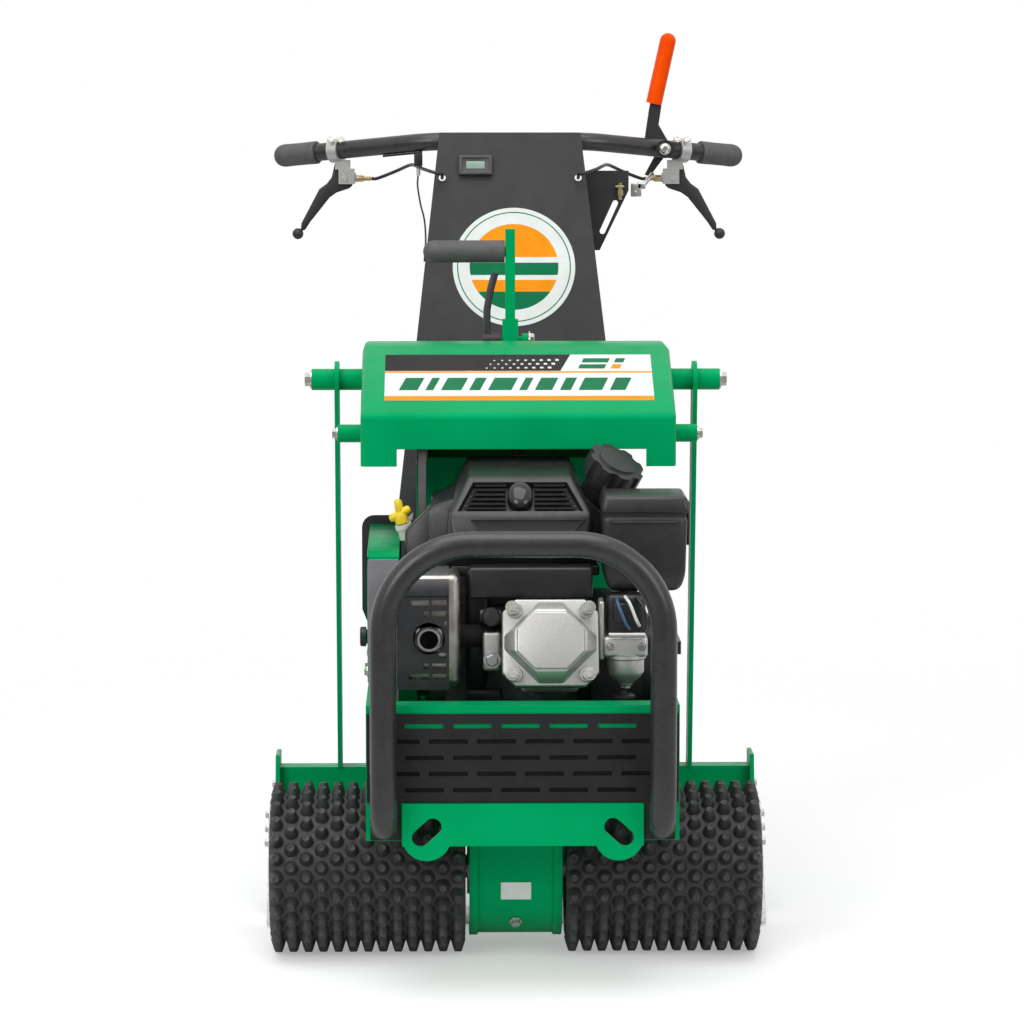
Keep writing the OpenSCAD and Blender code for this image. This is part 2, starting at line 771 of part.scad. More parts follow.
// Tapered sheet panel with side flanges that carries the handlebar
module handle_panel() color(black) difference() {
    taper = (panel_foot_w - panel_top_w) / 2 / panel_l;
    more = taper * 40;
    translate([0, panel_y, panel_z]) rotate([panel_tilt, 0, 0]) difference() {
        translate([0, 0, -panel_d]) linear_extrude(panel_d) polygon([
            [-panel_top_w / 2, 0], [panel_top_w / 2, 0],
            [panel_foot_w / 2, -panel_l], [-panel_foot_w / 2, -panel_l]
        ]);
        translate([0, 0, -panel_d - 1]) linear_extrude(panel_d - panel_t + 1) polygon([
            [panel_t + more - panel_top_w / 2, 40], [panel_top_w / 2 - panel_t - more, 40],
            [panel_foot_w / 2 - panel_t + more, -panel_l - 40],
            [panel_t - more - panel_foot_w / 2, -panel_l - 40]
        ]);
    }
    rod(bar_seat - [panel_top_w, 0, 0], bar_seat + [panel_top_w, 0, 0], bar_r + fit_gap);
    pair() rod(on_panel(cable_x, cable_s, -10), on_panel(cable_x, cable_s, 10), 2 * cable_r);
}

// Bent handlebar tube, drilled across for the speed lever's pivot
module handlebar() color(black) difference() {
    right = [bar_bend - [10, 0, 0], bar_bend - [2, 0, 0], bar_bend + bar_dir * 8, bar_end];
    left = [for (i = [len(right) - 1 : -1 : 0]) [-right[i][0], right[i][1], right[i][2]]];
    sweep(concat(left, right), bar_r, [0, 0, 1], 24);
    bar_y(speed_pin_r() + fit_gap, 0, panel_y + 300, speed_x, on_bar(speed_x)[2]);
}
function speed_pin_r() = bar_r * 0.4;

// Rubber grips on the handlebar's ends
module handle_grips() color(black) pair() difference() {
    near = bar_end - bar_dir * (grip_l - grip_r);
    capsule(near, bar_end, grip_r);
    rod(near - bar_dir, bar_end + bar_dir * fit_gap, bar_r + fit_gap);
}

// Hour meter on the panel
module hour_meter() color(black) translate(on_panel(-49, 36)) rotate([panel_tilt, 0, 0])
    block([-23, -14, fit_gap], [23, 14, 9]);

// Cast clamps on the handlebar that hold the clutch levers, with their pins
module lever_perches() color(steel) pair() {
    c = on_bar(perch_x);
    pivot = lever_pivot();
    ear = lever_t / 2 + run_gap;
    difference() {
        aim(c - bar_dir * perch_l / 2, c) cylinder(h = perch_l, r = bar_r + 4.5);
        aim(c - bar_dir * perch_l, c) cylinder(h = perch_l * 3, r = bar_r + fit_gap);
    }
    block([pivot[0] - 8, pivot[1] - ear - 4, pivot[2] + 13],
        [pivot[0] + 14, pivot[1] + ear + 4, c[2] - bar_r - 1]);
    for (s = [-1, 1]) translate([0, pivot[1] + s * (ear + 2), 0])
        block([pivot[0] - 14, -2, pivot[2] - 8], [pivot[0] + 9, 2, pivot[2] + 14]);
    block([pivot[0] - adjuster_x, pivot[1] - 6, pivot[2] - 6], [pivot[0] - 11, pivot[1] + 6, pivot[2] + 8]);
    bar_y(lever_pin_r(), pivot[1] - ear - 6, pivot[1] + ear + 6, pivot[0], pivot[2]);
}
function lever_pivot() = [perch_x - 12, on_bar(perch_x)[1], on_bar(perch_x)[2] - pivot_drop];
function lever_pin_r() = lever_t / 2;

// Brass cable adjusters screwed into the perches
module barrel_adjusters() color([0.75, 0.55, 0.25]) pair() {
    p = lever_pivot();
    from = p - [adjuster_x, 0, 0];
    rod(from, from - [adjuster_l / 2, 0, 0], 5);
    rod(from - [adjuster_l / 2 - 1, 0, 0], from - [adjuster_l, 0, 0], 3.5);
}

// Cables from the adjusters to the holes at the panel's edges
module clutch_cables() color(black) pair() {
    p = lever_pivot();
    start = p - [adjuster_x + adjuster_l + 0.3, 0, 0];
    hole = on_panel(cable_x, cable_s, panel_t);
    route = [
        start, start - [8, 0, 0], start + [-28, -20, 8], start + [-56, -58, 18], start + [-80, -94, 20],
        start + [-90, -118, 15], on_panel(cable_x, cable_s, -18), hole
    ];
    sweep(route, cable_r, [0, 0, 1], 8);
}

// Plate beside the panel that guides the speed lever's cable
module lever_bracket() color(black) {
    y = panel_y + 14;
    z = panel_z;
    edge = panel_half(60) + 1.2;
    difference() {
        sheet(y, y + 3) polygon([
            [edge, z - 72], [edge, z - 54], [169, z - 54], [169, z - 82], [128, z - 167], [edge + 10, z - 167]
        ]);
        sheet(y - 1, y + 4) hull() {
            translate([150, z - 100]) circle(r = 4, $fn = 24);
            translate([132, z - 140]) circle(r = 4, $fn = 24);
        }
    }
}

// Crankcase with its cylinder barrel and a bored crankshaft line
module engine_block() color(cast) difference() {
    foot_h = 14;
    foot_over = 8;
    neck_in = 14;
    back = crank_y + block_back;
    neck = floor_top + block_h;
    fins = 6;
    fin_step = 11;
    union() {
        block([-block_left - foot_over, -block_front - 2 * foot_over, floor_top],
            [block_right + foot_over, back - foot_over, floor_top + foot_h]);
        block([-block_left, -block_front, floor_top + foot_h - 1], [block_right, back, neck]);
        block([-block_left + neck_in, neck_in - block_front, neck - 1],
            [block_right - neck_in, back - neck_in, cover_low()]);
        bar(3 * crank_r, -block_left - 20, 2 - block_left, crank);
        bar(3 * crank_r + 10, block_right - 2, blower_x, crank);
        cylinder_line() {
            translate([0, 0, barrel_r - fin_h]) cylinder(h = cyl_len - barrel_r + fin_h, r = barrel_r);
            for (i = [1 : fins]) translate([0, 0, cyl_len + 4 - i * fin_step])
                cylinder(h = 4, r = barrel_r + fin_h);
        }
        block([dip_foot()[0] - 7, dip_foot()[1] - 19, cover_low() - 60],
            [neck_in + 4 - block_left, dip_foot()[1] + 7, cover_low() - 20]);
    }
    bar(crank_r + fit_gap, -2 * block_left, 2 * block_right, crank);
    rod(dip_foot(), dip_top() + dip_dir() * 20, dip_r() + fit_gap);
}
function cover_low() = floor_top + cover_rise;
function dip_r() = 5;
function dip_foot() = [-121, -22, cover_low() - 38];
function dip_dir() = unit([-0.27, -0.1, 0.96]);
function dip_top() = dip_foot() + dip_dir() * 96;

// Puts children on the cylinder's axis, with their Z pointing out through the head
module cylinder_line() translate([cyl_x, crank[0], crank[1]]) rotate([90 - cyl_tilt, 0, 0]) children();

// Puts children on the valve cover's seat, with X to the right and Y up
module cover_face() cylinder_line() translate([0, 0, cyl_len + head_d]) children();

// An eight-sided outline, w by h, with cut corners
module octagon(w, h, cut) polygon([
    [-w / 2, cut - h / 2], [cut - w / 2, -h / 2], [w / 2 - cut, -h / 2], [w / 2, cut - h / 2],
    [w / 2, h / 2 - cut], [w / 2 - cut, h / 2], [cut - w / 2, h / 2], [-w / 2, h / 2 - cut]
]);

// Width over the head's fins
function fin_w() = head_w - 4;

// Finned cylinder head
module cylinder_head() color(cast) cylinder_line() {
    fins = 4;
    fin_t = 6;
    core = 22;
    translate([0, 0, cyl_len]) linear_extrude(head_d) octagon(head_w - core, head_h - core, cover_cut);
    for (i = [0 : fins - 1]) translate([0, 0, cyl_len + i * (head_d - fin_t) / (fins - 1)])
        linear_extrude(fin_t) octagon(fin_w(), head_h - 4, cover_cut + 2);
}

// Cast valve cover with a raised middle
module valve_cover() color(cast) cover_face() {
    linear_extrude(cover_d - 8) octagon(head_w, head_h, cover_cut);
    translate([0, 0, cover_d - 9]) linear_extrude(9) octagon(head_w * 0.68, head_h * 0.62, cover_cut * 0.4);
}

// Places of the exhaust, from the cylinder head's left face
function muffler_x() = cyl_x - head_w / 2 - 50;
function muffler_z() = crank[1] + 66;

// Front of the muffler and its outlet's place, as [x, z]
function muffler_y() = crank_y - cyl_len * cos(cyl_tilt) - 40;
function outlet() = [muffler_x() - muffler_w / 2 - 1, muffler_z() + 2];

// Muffler box with its pipe to the head and its outlet
module muffler() color(steel) {
    x = muffler_x();
    y = muffler_y();
    z = muffler_z() - muffler_h * 0.43;
    pipe_y = crank_y - cyl_len * cos(cyl_tilt) - 10;
    difference() {
        union() {
            block([x - muffler_w, y, z], [x, y + muffler_d, z + muffler_h]);
            bar(outlet_r - 1, x - 1, cyl_x - fin_w() / 2 - fit_gap, [pipe_y, muffler_z()]);
            bar_y(outlet_r, y - 18, y + 1, outlet()[0], outlet()[1]);
        }
        bar_y(outlet_r - outlet_t, y - 19, y + 28, outlet()[0], outlet()[1]);
    }
}

// Slotted heat guard in front of the muffler
module muffler_guard() color(black) difference() {
    sheet_t = 3;
    gap = 4;
    x = muffler_x();
    y = muffler_y() - gap - sheet_t;
    z = muffler_z() - muffler_h * 0.43 - 2;
    side = x - muffler_w - sheet_t;
    high = z + muffler_h + 10;
    union() {
        block([side, y, z], [x - 12, y + sheet_t, high]);
        block([side, y, z], [side + sheet_t - fit_gap, y + muffler_d, high]);
        for (k = [-1, 1]) bar_y(gap + 1, y + sheet_t - 0.5, y + gap + sheet_t, x - 20, muffler_z() + k * 50);
    }
    bar_y(outlet_r + gap, y - 5, y + 15, outlet()[0], outlet()[1]);
    for (k = [-1, 1], i = [0 : 3]) let (low = muffler_z() + k * 42 - 15 + i * 9)
        block([side + 7, y - 5, low], [side + 47, y + 5, low + gap]);
}

// Carburettor with its bowl, between the head and the air cleaner
module carburettor() color(steel) {
    x = cyl_x + head_w / 2;
    y = crank_y - cyl_len * cos(cyl_tilt) - 20;
    z = crank[1] + 62;
    bar(15, cyl_x + fin_w() / 2 + fit_gap, x + 20, [y, z]);
    block([x + 14, y - 22, z - 24], [x + 58, y + 22, z + 26]);
    translate([x + 36, y, z - 62]) cylinder(h = 39, r1 = 18, r2 = 23);
    translate([x + 36, y, z - 68]) cylinder(h = 8, r = 6, $fn = 6);
    translate([x + 36, y, z + 25]) cylinder(h = air_low() - z - 25, r = 17);
}
function air_low() = crank[1] + 122;

// Air cleaner box with its lid
module air_cleaner() color(black) {
    x = cyl_x + head_w / 2 + 4;
    y = muffler_y() + 10;
    z = air_low() + air_h;
    seam = 1;
    block([x, y, air_low()], [x + air_w, y + air_d, z]);
    block([x - 2, y - 3, z + seam], [x + air_w + 3, y + air_d - 4, z + air_lid_h]);
    block([x + 4, y + 4, z - 1], [x + air_w - 4, y + air_d - 8, z + 2 * seam]);
}

// A convex body through corner points
module faceted(corners) hull() polyhedron(points = corners, faces = [[for (i = [0 : len(corners) - 1]) i]]);

// Corners of the cooling cover's body, wing and right shoulder, from its lower edge up
function cover_body() = let (z = cover_low(), top = z + cover_h, brow = z + 0.62 * cover_h) [
    for (s = [-1, 1]) each [
        [s * cover_half, 32 - cover_front, z], [s * (cover_half - 14), -cover_front, z + 0.36 * cover_h],
        [s * (cover_half - 8), 10 - cover_front, brow], [s * crown_half, 56 - cover_front, top],
        [s * crown_half, cover_back - 36, top + 14], [s * (cover_half - 4), cover_back, brow],
        [s * cover_half, cover_back, z]
    ]
];
function cover_wing(tip, lift, y) = let (z = cover_low(), s = sign(tip)) [
    [s * crown_half, y + 6, z + 2], [tip, y + 16, z + 2], [tip, y, z + lift],
    [s * (abs(tip) - 34), y - 6, z + lift + 32], [s * crown_half, y - 10, z + 0.8 * cover_h],
    [s * crown_half, 50, z + 0.9 * cover_h], [s * (abs(tip) - 34), 56, z + lift + 34], [tip, 72, z + lift],
    [tip, 80, z + 2], [s * crown_half, 80, z + 2]
];

// Cooling cover on top of the engine, with louvres, wings, a cheek beside the barrel and the filler neck
module engine_cover() color(black) difference() {
    top = cover_low() + cover_h;
    cheek = [muffler_x() + 12, cyl_x - barrel_r - fin_h - 4];
    belt_room = belt_w / 2 + flange_h;
    louvres = 5;
    louvre_w = 34;
    dip_room = 12;
    union() {
        faceted(cover_body());
        faceted(cover_wing(-wing_x, 46, -66));
        faceted(cover_wing(cover_half + 24, 50, -44));
        block([cheek[0], -block_front - 48, crank[1] - 6], [cheek[1], -block_front - 2, cover_low() + 4]);
        rod(cap_seat() - cap_dir() * 44, cap_seat(), 25);
    }
    rod(dip_foot(), dip_top() + dip_dir() * 60, dip_room);
    rod(dip_top() - dip_dir() * 6, dip_top() + dip_dir() * 60, 18);
    block([cutter_belt_x - belt_room, -14, 0], [cutter_belt_x + belt_room, cover_back + 40, top + 40]);
    for (s = [-1, 1], i = [0 : louvres - 1]) let (x = s * 37, z = top - 40 + i * 7)
        block([x - louvre_w / 2, -cover_front, z], [x + louvre_w / 2, 30 - cover_front + i * 8, z + 3]);
}
function cap_dir() = unit([0.42, -0.4, 0.82]);
function cap_seat() = [112, -24, cover_low() + cover_h - 6];

// Lobed screw cap of the fuel tank
module fuel_cap() color(black) aim(cap_seat() + cap_dir() * run_gap, cap_seat() + cap_dir() * 30) {
    difference() {
        cylinder(h = 26, r = cap_r);
        for (a = [0 : 45 : 315]) rotate(a) translate([cap_r + 4, 0, -1]) cylinder(h = 30, r = 9);
    }
    translate([0, 0, 25]) cylinder(h = 4, r = cap_r - 12);
}

// Blower housing around the flywheel, with the recoil starter's dome
module blower_housing() color(black) difference() {
    x0 = blower_x + fit_gap;
    x1 = blower_x + blower_d;
    wall = 4;
    union() {
        bar(blower_r, x0, x1, crank);
        bar(dome_r, x1 - 1, x1 + dome_d, crank);
        block(
            [x1 - 22, crank_y - 18, crank[1] + blower_r - 10],
            [x1, crank_y + 18, crank[1] + blower_r + 14]
        );
        bar(9, x1 + dome_d - 6, x1 + dome_d + 4, rope());
    }
    bar(flywheel_r + wall, x0 + wall, x1 - wall, crank);
    bar(3 * crank_r + 2, x0 - 8, x0 + 2 * wall, crank);
    bar(3, x1 - 30, x1 + dome_d + 14, rope());
}
function rope() = [crank_y - 50, crank[1] + 40];

// Pull grip of the recoil starter
module starter_grip() color(black) {
    x = blower_x + blower_d + dome_d + 4;
    c = rope();
    half = 34;
    bar(8, x + run_gap, x + 8, c);
    block([x + 7, c[0] - half, c[1] - 8], [x + 21, c[0] + half, c[1] + 8]);
}

// Rubber boot of the spark plug
module spark_plug_boot() color(black) {
    x = cyl_x - fin_w() / 2;
    bar(9, x - 28, x - fit_gap, [crank_y - (cyl_len + 16) * cos(cyl_tilt), crank[1] + 91]);
}

// Yellow oil dipstick with its pull
module dipstick() color([0.95, 0.75, 0.05]) {
    rod(dip_foot() + dip_dir() * 12, dip_top(), dip_r());
    rod(dip_top() - dip_dir(), dip_top() + dip_dir() * 14, 8.5);
    rod(dip_top() + dip_dir() * 9 - [12, 0, 2], dip_top() + dip_dir() * 9 + [12, 0, 2], 5);
}

// Crankshaft with the flywheel
module crankshaft() color(steel) {
    bar(crank_r, pump_belt_x - belt_w, blower_x + 14, crank);
    bar(flywheel_r, blower_x + 12, blower_x + blower_d - 10, crank);
}

// Double pulley on the crankshaft
module drive_pulley() color(steel) {
    pulley(cutter_belt_x, crank, drive_groove_r, crank_r);
    pulley(pump_belt_x, crank, drive_groove_r, crank_r);
}

// Shaft with the eccentric, running in the box's pegs
module eccentric_shaft() color(steel) {
    bar(ecc_shaft_r, 1 - box_w / 2 - peg_len, box_w / 2 + peg_len - 1, ecc);
    bar(ecc_r, -9, 9, [ecc[0] + throw, ecc[1]]);
}

// Pulley of the eccentric's shaft
module eccentric_pulley() color(steel) pulley(cutter_belt_x, ecc, ecc_groove_r, ecc_shaft_r);

// Pulley of the pump, with its stub shaft
module pump_pulley() color(steel) {
    pulley(pump_belt_x, pump, pump_groove_r, out_shaft_r - 1);
    bar(out_shaft_r, pump_belt_x - belt_w / 2, -tower_in + 28, pump);
}

// Sprocket with n teeth up to the tip radius
module sprocket(x, c, tip_r, n, half) slab(x - half, x + half) translate(c) difference() {
    circle(r = tip_r);
    for (i = [0 : n - 1]) rotate(i * 360 / n) translate([tip_r + 1, 0])
        circle(r = tip_r * PI / n * 0.55, $fn = 16);
}

// Upper sprocket on the pump's output shaft
module output_sprocket() color(steel) {
    sprocket(drive_x, upper, out_sprocket_r, 14, 3);
    bar(out_shaft_r, -tower_in + 30, drive_x + 8, upper);
}

// Drive axle with its welded sprocket
module axle_shaft() color(steel) translate([drive_x, 0, 0]) {
    bar(axle_r, -drum_in - tyre_w + 4, drum_in + tyre_w - 4, axle);
    sprocket(0, axle, axle_sprocket_r, 28, 3);
}

// Steel drums, each with two webs on the axle
module wheel_drums() color(steel) translate([drive_x, 0, 0]) pair() {
    ring(rim_r, rim_r - rim_t, drum_in, drum_in + tyre_w, axle);
    for (x = [drum_in + 8, drum_in + tyre_w - 14]) ring(rim_r - rim_t + 1, axle_r + fit_gap, x, x + 6, axle);
}

// Rubber tyres, each with ridges at the rows of studs
module studded_tyres() color(black) translate([drive_x, 0, 0]) pair() {
    rows = floor((tyre_w - 8) / stud_pitch);
    low = tyre_r - stud_h;
    margin = (tyre_w - rows * stud_pitch) / 2;
    ridge = [for (i = [0 : rows - 1]) let (c = margin + (i + 0.5) * stud_pitch) each [
        [low, c - stud_pitch * 0.45], [tyre_r, c - stud_tip_w / 2], [tyre_r, c + stud_tip_w / 2],
        [low, c + stud_pitch * 0.45]
    ]];
    translate([drum_in, 0, tyre_r]) rotate([0, 90, 0]) rotate_extrude()
        polygon(concat([[rim_r + fit_gap, tyre_w], [rim_r + fit_gap, 0], [low, 0]], ridge, [[low, tyre_w]]));
}

// Rocker shaft with the crank arm that the pitman rod swings
module rocker_shaft() color(steel) {
    bar(rocker_r, -bush_out, bush_out, rocker);
    slab(10, 20) {
        translate(rocker) circle(r = rocker_r + 10);
        translate(pitman_pin) circle(r = 15);
        translate(pitman_pin - [12, 0]) square([24, crank_arm]);
    }
    bar(7, -9, 11, pitman_pin);
}

// Rod from the eccentric to the crank arm, its big end opened wide enough for the whole throw
module pitman_rod() color(steel) difference() {
    big = ecc_r + 2 * throw + run_gap;
    slab(-8, 9) union() {
        translate(ecc) circle(r = big + 8);
        translate(pitman_pin) circle(r = 14);
        translate(ecc - [0, 8]) square([pitman_len, 16]);
    }
    bar(big, -20, 20, ecc);
    bar(7 + fit_gap, -20, 20, pitman_pin);
}

// Hanging flat bars with their bush tubes
module swing_arms() color(green) pair() {
    end = [beam[0], beam[1] + beam_h / 2];
    lean = unit(end - rocker);
    across = [-lean[1], lean[0]] * arm_w / 2;
    difference() {
        union() {
            bar(bush_r, bush_in, bush_out, rocker);
            slab(arm_in, arm_in + arm_t) difference() {
                union() {
                    translate(rocker) circle(r = arm_w / 2 + 1);
                    polygon([
                        rocker + across, rocker - across, end - across * 0.8 + lean * 8,
                        end + across * 0.8 + lean * 8
                    ]);
                }
                translate([0, end[1] - 30]) square([600, 30]);
            }
        }
        bar(rocker_r + fit_gap, 0, box_w, rocker);
    }
}

// Cross beam behind the tyres, with its end plates
module cutter_beam() color(green) {
    wall = 4;
    difference() {
        block([-beam_out, beam[0] - beam_d / 2, beam[1] - beam_h / 2],
            [beam_out, beam[0] + beam_d / 2, beam[1] + beam_h / 2]);
        block([-cut_w, beam[0] - beam_d / 2 + wall, beam[1] - beam_h / 2 + wall],
            [cut_w, beam[0] + beam_d / 2 - wall, beam[1] + beam_h / 2 - wall]);
    }
    pair() slab(beam_out, cut_w / 2) polygon([
        [beam[0] - 56, beam[1] - 70], [beam[0] - 22, beam[1] + 39], [beam[0] + 28, beam[1] + 39],
        [beam[0] + 28, beam[1] - 40], [beam[0] + 6, beam[1] - 70]
    ]);
}

// Point on a blade leg's middle line, up from the cutting plate by z
function leg_foot_y() = blade_y + leg_w / 2 + 4;
function leg_y(z) = leg_foot_y() + z * (beam[0] - 16 - leg_foot_y()) / (beam[1] - 24 - blade_z);

// U-shaped blade: a bevelled cutting plate under two leaning legs
module sod_blade() color([0.45, 0.45, 0.47]) {
    top = beam[1] - 24 - blade_z;
    slab(-cut_w / 2 - blade_t, cut_w / 2 + blade_t) polygon([
        [blade_y, blade_z], [blade_y + 26, blade_z + blade_t], [blade_y + blade_d, blade_z + blade_t],
        [blade_y + blade_d, blade_z]
    ]);
    pair() slab(cut_w / 2, cut_w / 2 + blade_t) polygon([
        [blade_y + 2, blade_z], [leg_y(top) - leg_w / 2, blade_z + top],
        [leg_y(top) + leg_w / 2, blade_z + top],
        [blade_y + blade_d, blade_z + blade_t], [blade_y + blade_d, blade_z]
    ]);
}

// Bolts of the cutter: rocker shaft ends, blade legs and end plates
module cutter_bolts() color([0.75, 0.62, 0.35]) pair() {
    translate([bush_out, rocker[0], rocker[1]]) rotate([0, 90, 0]) bolt_head(9);
    for (i = [0 : 2]) let (z = beam[1] - 74 + i * 17) translate([cut_w / 2 + blade_t, leg_y(z - blade_z), z])
        rotate([0, 90, 0]) bolt_head(5);
    translate([cut_w / 2, beam[0] + 8, beam[1] - 5]) rotate([0, 90, 0]) bolt_head(5);
}

// Depth lever: trunnion, pivot tube and upright bar with its cross bolt
module depth_lever() color(green) {
    x0 = drive_x - depth_bar_w / 2 + 0.5;
    x1 = x0 + depth_bar_w;
    high = grip_line()[1] + depth_over;
    bar(depth_hub_r, -60, 60, depth);
    bar(depth_pin_r, -tower_w / 2, tower_w / 2, depth);
    slab(x0, x1) polygon([
        [depth[0] - 14, depth[1]], [depth[0] + 6, high], [depth[0] + 28, high], [depth[0] + 14, depth[1]]
    ]);
    slab(x0 - 4, x1 + 4) polygon([
        [depth[0] - 6, depth[1] + 400], [depth[0] + 2, latch_z() + 28], [depth[0] + 20, latch_z() + 28],
        [depth[0] + 22, depth[1] + 400]
    ]);
    bar(5, latch_x() - 12, x1 + 18, [depth[0] + 8, latch_z()]);
    bar(9, x1 + 10, x1 + 18, [depth[0] + 8, latch_z()]);
    bar(7, x0 - 16, x0 + 1, grip_line());
}
function latch_z() = quadrant_r() + depth[1] + 31;
function latch_x() = drive_x - depth_bar_w / 2 - 12;
function grip_line() = [depth[0] + 16, latch_z() + strap_l + strap_gap];

// Rubber grip on the depth lever's cross stub
module depth_grip() color(black) difference() {
    x0 = drive_x - depth_bar_w / 2 - 0.5;
    c = grip_line();
    capsule([x0, c[0], c[1]], [x0 - depth_grip_l + depth_grip_r, c[0], c[1]], depth_grip_r);
    bar(7 + fit_gap, x0 - 16, x0 + 2, c);
}

// Latch lever beside the depth lever, with its pawl over the quadrant
module depth_latch() color(black) difference() {
    c = [depth[0] + 8, latch_z()];
    union() {
        bar(10, -42, latch_x() + 6, c);
        block([-42, c[0] - 6, c[1] - 30], [-34, c[0] + 6, c[1]]);
        sweep([
            [-34, c[0], c[1]], [-36, c[0], c[1] + strap_l * 0.16], [-36, c[0] + 2, c[1] + strap_l * 0.44],
            [-31, c[0] + 4, c[1] + strap_l * 0.76], [-25, c[0] + 6, c[1] + strap_l]
        ], 5, [1, 0, 0], 8);
    }
    bar(5 + fit_gap, -60, 0, c);
}

// Arms from the depth lever's pivot tube back to the caster's swivel housing
module caster_arm() color(green) {
    x0 = 40;
    difference() {
        union() {
            pair() slab(x0, x0 + 8) polygon([
                [depth[0] - 24, depth[1] - 22], [depth[0] - 24, depth[1] + 24],
                [depth[0] + 24, depth[1] + 24],
                [caster[0] + 30, caster[1] + 4], [caster[0] + 30, caster[1] - 62],
                [caster[0] - 40, caster[1] - 62]
            ]);
            block([-x0 - 4, caster[0] - 32, caster[1] - 8], [x0 + 4, caster[0] + 30, caster[1]]);
            block([-x0 - 4, caster[0] - 32, caster[1] - 62], [x0 + 4, caster[0] + 30, caster[1] - 54]);
            translate([0, caster[0], caster[1] - 70]) cylinder(h = 76, r = stem_r + 12);
        }
        bar(depth_hub_r + fit_gap, -100, 100, depth);
        translate([0, caster[0], caster[1] - 100]) cylinder(h = 150, r = stem_r + fit_gap);
    }
}

// Caster fork: stem, crown, legs and axle bolt
module caster_fork() color(black) {
    crown = caster[1] - 70 - run_gap;
    leg_in = caster_w / 2 + 5;
    wheel = [caster[0] + caster_trail, caster_r];
    translate([0, caster[0], crown - 4]) cylinder(h = caster[1] + 14 - crown, r = stem_r);
    translate([0, caster[0], caster[1] + 6 + run_gap]) cylinder(h = 9, r = stem_r + 7, $fn = 6);
    block([-leg_in - 6, caster[0] - 34, crown - 10], [leg_in + 6, wheel[0] + 24, crown]);
    pair() slab(leg_in, leg_in + 6) polygon([
        [caster[0] - 34, crown - 6], [wheel[0] + 24, crown - 6], [wheel[0] + 18, wheel[1] - 14],
        [wheel[0] - 18, wheel[1] - 14]
    ]);
    bar(caster_pin_r, -leg_in - 12, leg_in + 12, wheel);
}

// Caster wheel with its tyre groove and hub
module caster_wheel() color(black) difference() {
    c = [caster[0] + caster_trail, caster_r];
    half = caster_w / 2;
    union() {
        bar(caster_r, -half + 8, half - 8, c);
        bar(caster_r - 7, -half, half, c);
        bar(24, -half - 4, half + 4, c);
    }
    for (s = [-1, 1]) ring(caster_r - 26, 26, s * half - 8, s * half + 8, c);
    bar(caster_pin_r + fit_gap, -caster_w, caster_w, c);
}

// Clutch lever on the right: eye, blade and ball end
module clutch_lever() {
    p = lever_pivot();
    tip = p + [lever_reach, 0, -lever_fall];
    lean = unit([lever_reach, -lever_fall]);
    across = [-lean[1], lean[0]];
    mid = [p[0], p[2]] + lean * 34;
    far = [tip[0], tip[2]];
    difference() {
        union() {
            bar_y(10, p[1] - lever_t / 2, p[1] + lever_t / 2, p[0], p[2]);
            sheet(p[1] - lever_t / 2, p[1] + lever_t / 2) polygon([
                [p[0], p[2]] - across * 9 - lean * 2, mid - across * 8, far - across * 4, far + across * 4,
                mid + across * 7, [p[0], p[2]] + across * 10 + lean * 6
            ]);
            translate(tip) sphere(r = 7);
        }
        bar_y(lever_pin_r() + fit_gap, 0, p[1] + 100, p[0], p[2]);
    }
}

// The two clutch levers
module left_clutch_lever() color(black) mirror([1, 0, 0]) clutch_lever();
module right_clutch_lever() color(black) clutch_lever();

// Speed lever behind the handlebar: bent flat bar with its pivot bolt through the tube
module speed_lever() color(black) {
    c = on_bar(speed_x);
    y0 = speed_y();
    top = speed_top();
    front = 2 * c[1] - y0;
    sheet(y0, y0 + speed_t) polygon([
        [c[0] - 10, c[2] - 8], [c[0] - 26, c[2] - 38], [c[0] - 18, c[2] - 40], [c[0] + 4, c[2] - 10],
        [c[0] + 10, c[2] - 2], [c[0] + 8, c[2] + 10], [c[0] - 6, c[2] + 34], [c[0] - 2, c[2] + 60],
        [top[0] + 5, top[2]], [top[0] - 7, top[2]], [c[0] - 20, c[2] + 56], [c[0] - 26, c[2] + 14]
    ]);
    bar_y(speed_pin_r(), front - 3, y0 + 1, c[0], c[2]);
    bar_y(2 * speed_pin_r(), front - 4, front, c[0], c[2]);
}
function speed_y() = on_bar(speed_x)[1] + bar_r * 1.95;
function speed_top() = [speed_x + 6, speed_y() + speed_t / 2, on_bar(speed_x)[2] + 150];

// Grip on the speed lever
module speed_grip() color([0.95, 0.3, 0.05]) difference() {
    c = on_bar(speed_x);
    low = [c[0] - 13, speed_top()[1], c[2] + 64];
    line = unit(speed_top() - low);
    y0 = speed_y();
    side = 2 * fit_gap;
    capsule(low, low + line * speed_grip_l, speed_grip_r);
    sheet(y0 - fit_gap, y0 + speed_t + fit_gap) polygon([
        [c[0] - 2 + side, c[2] + 56], [c[0] - 2 + side, c[2] + 60],
        [speed_top()[0] + 5 + side, speed_top()[2] + side],
        [speed_top()[0] - 7 - side, speed_top()[2] + side],
        [c[0] - 20 - side, c[2] + 56]
    ]);
}

// Stands a piece over the machine's middle
module stand() translate([0, -mid_y, 0]) children();

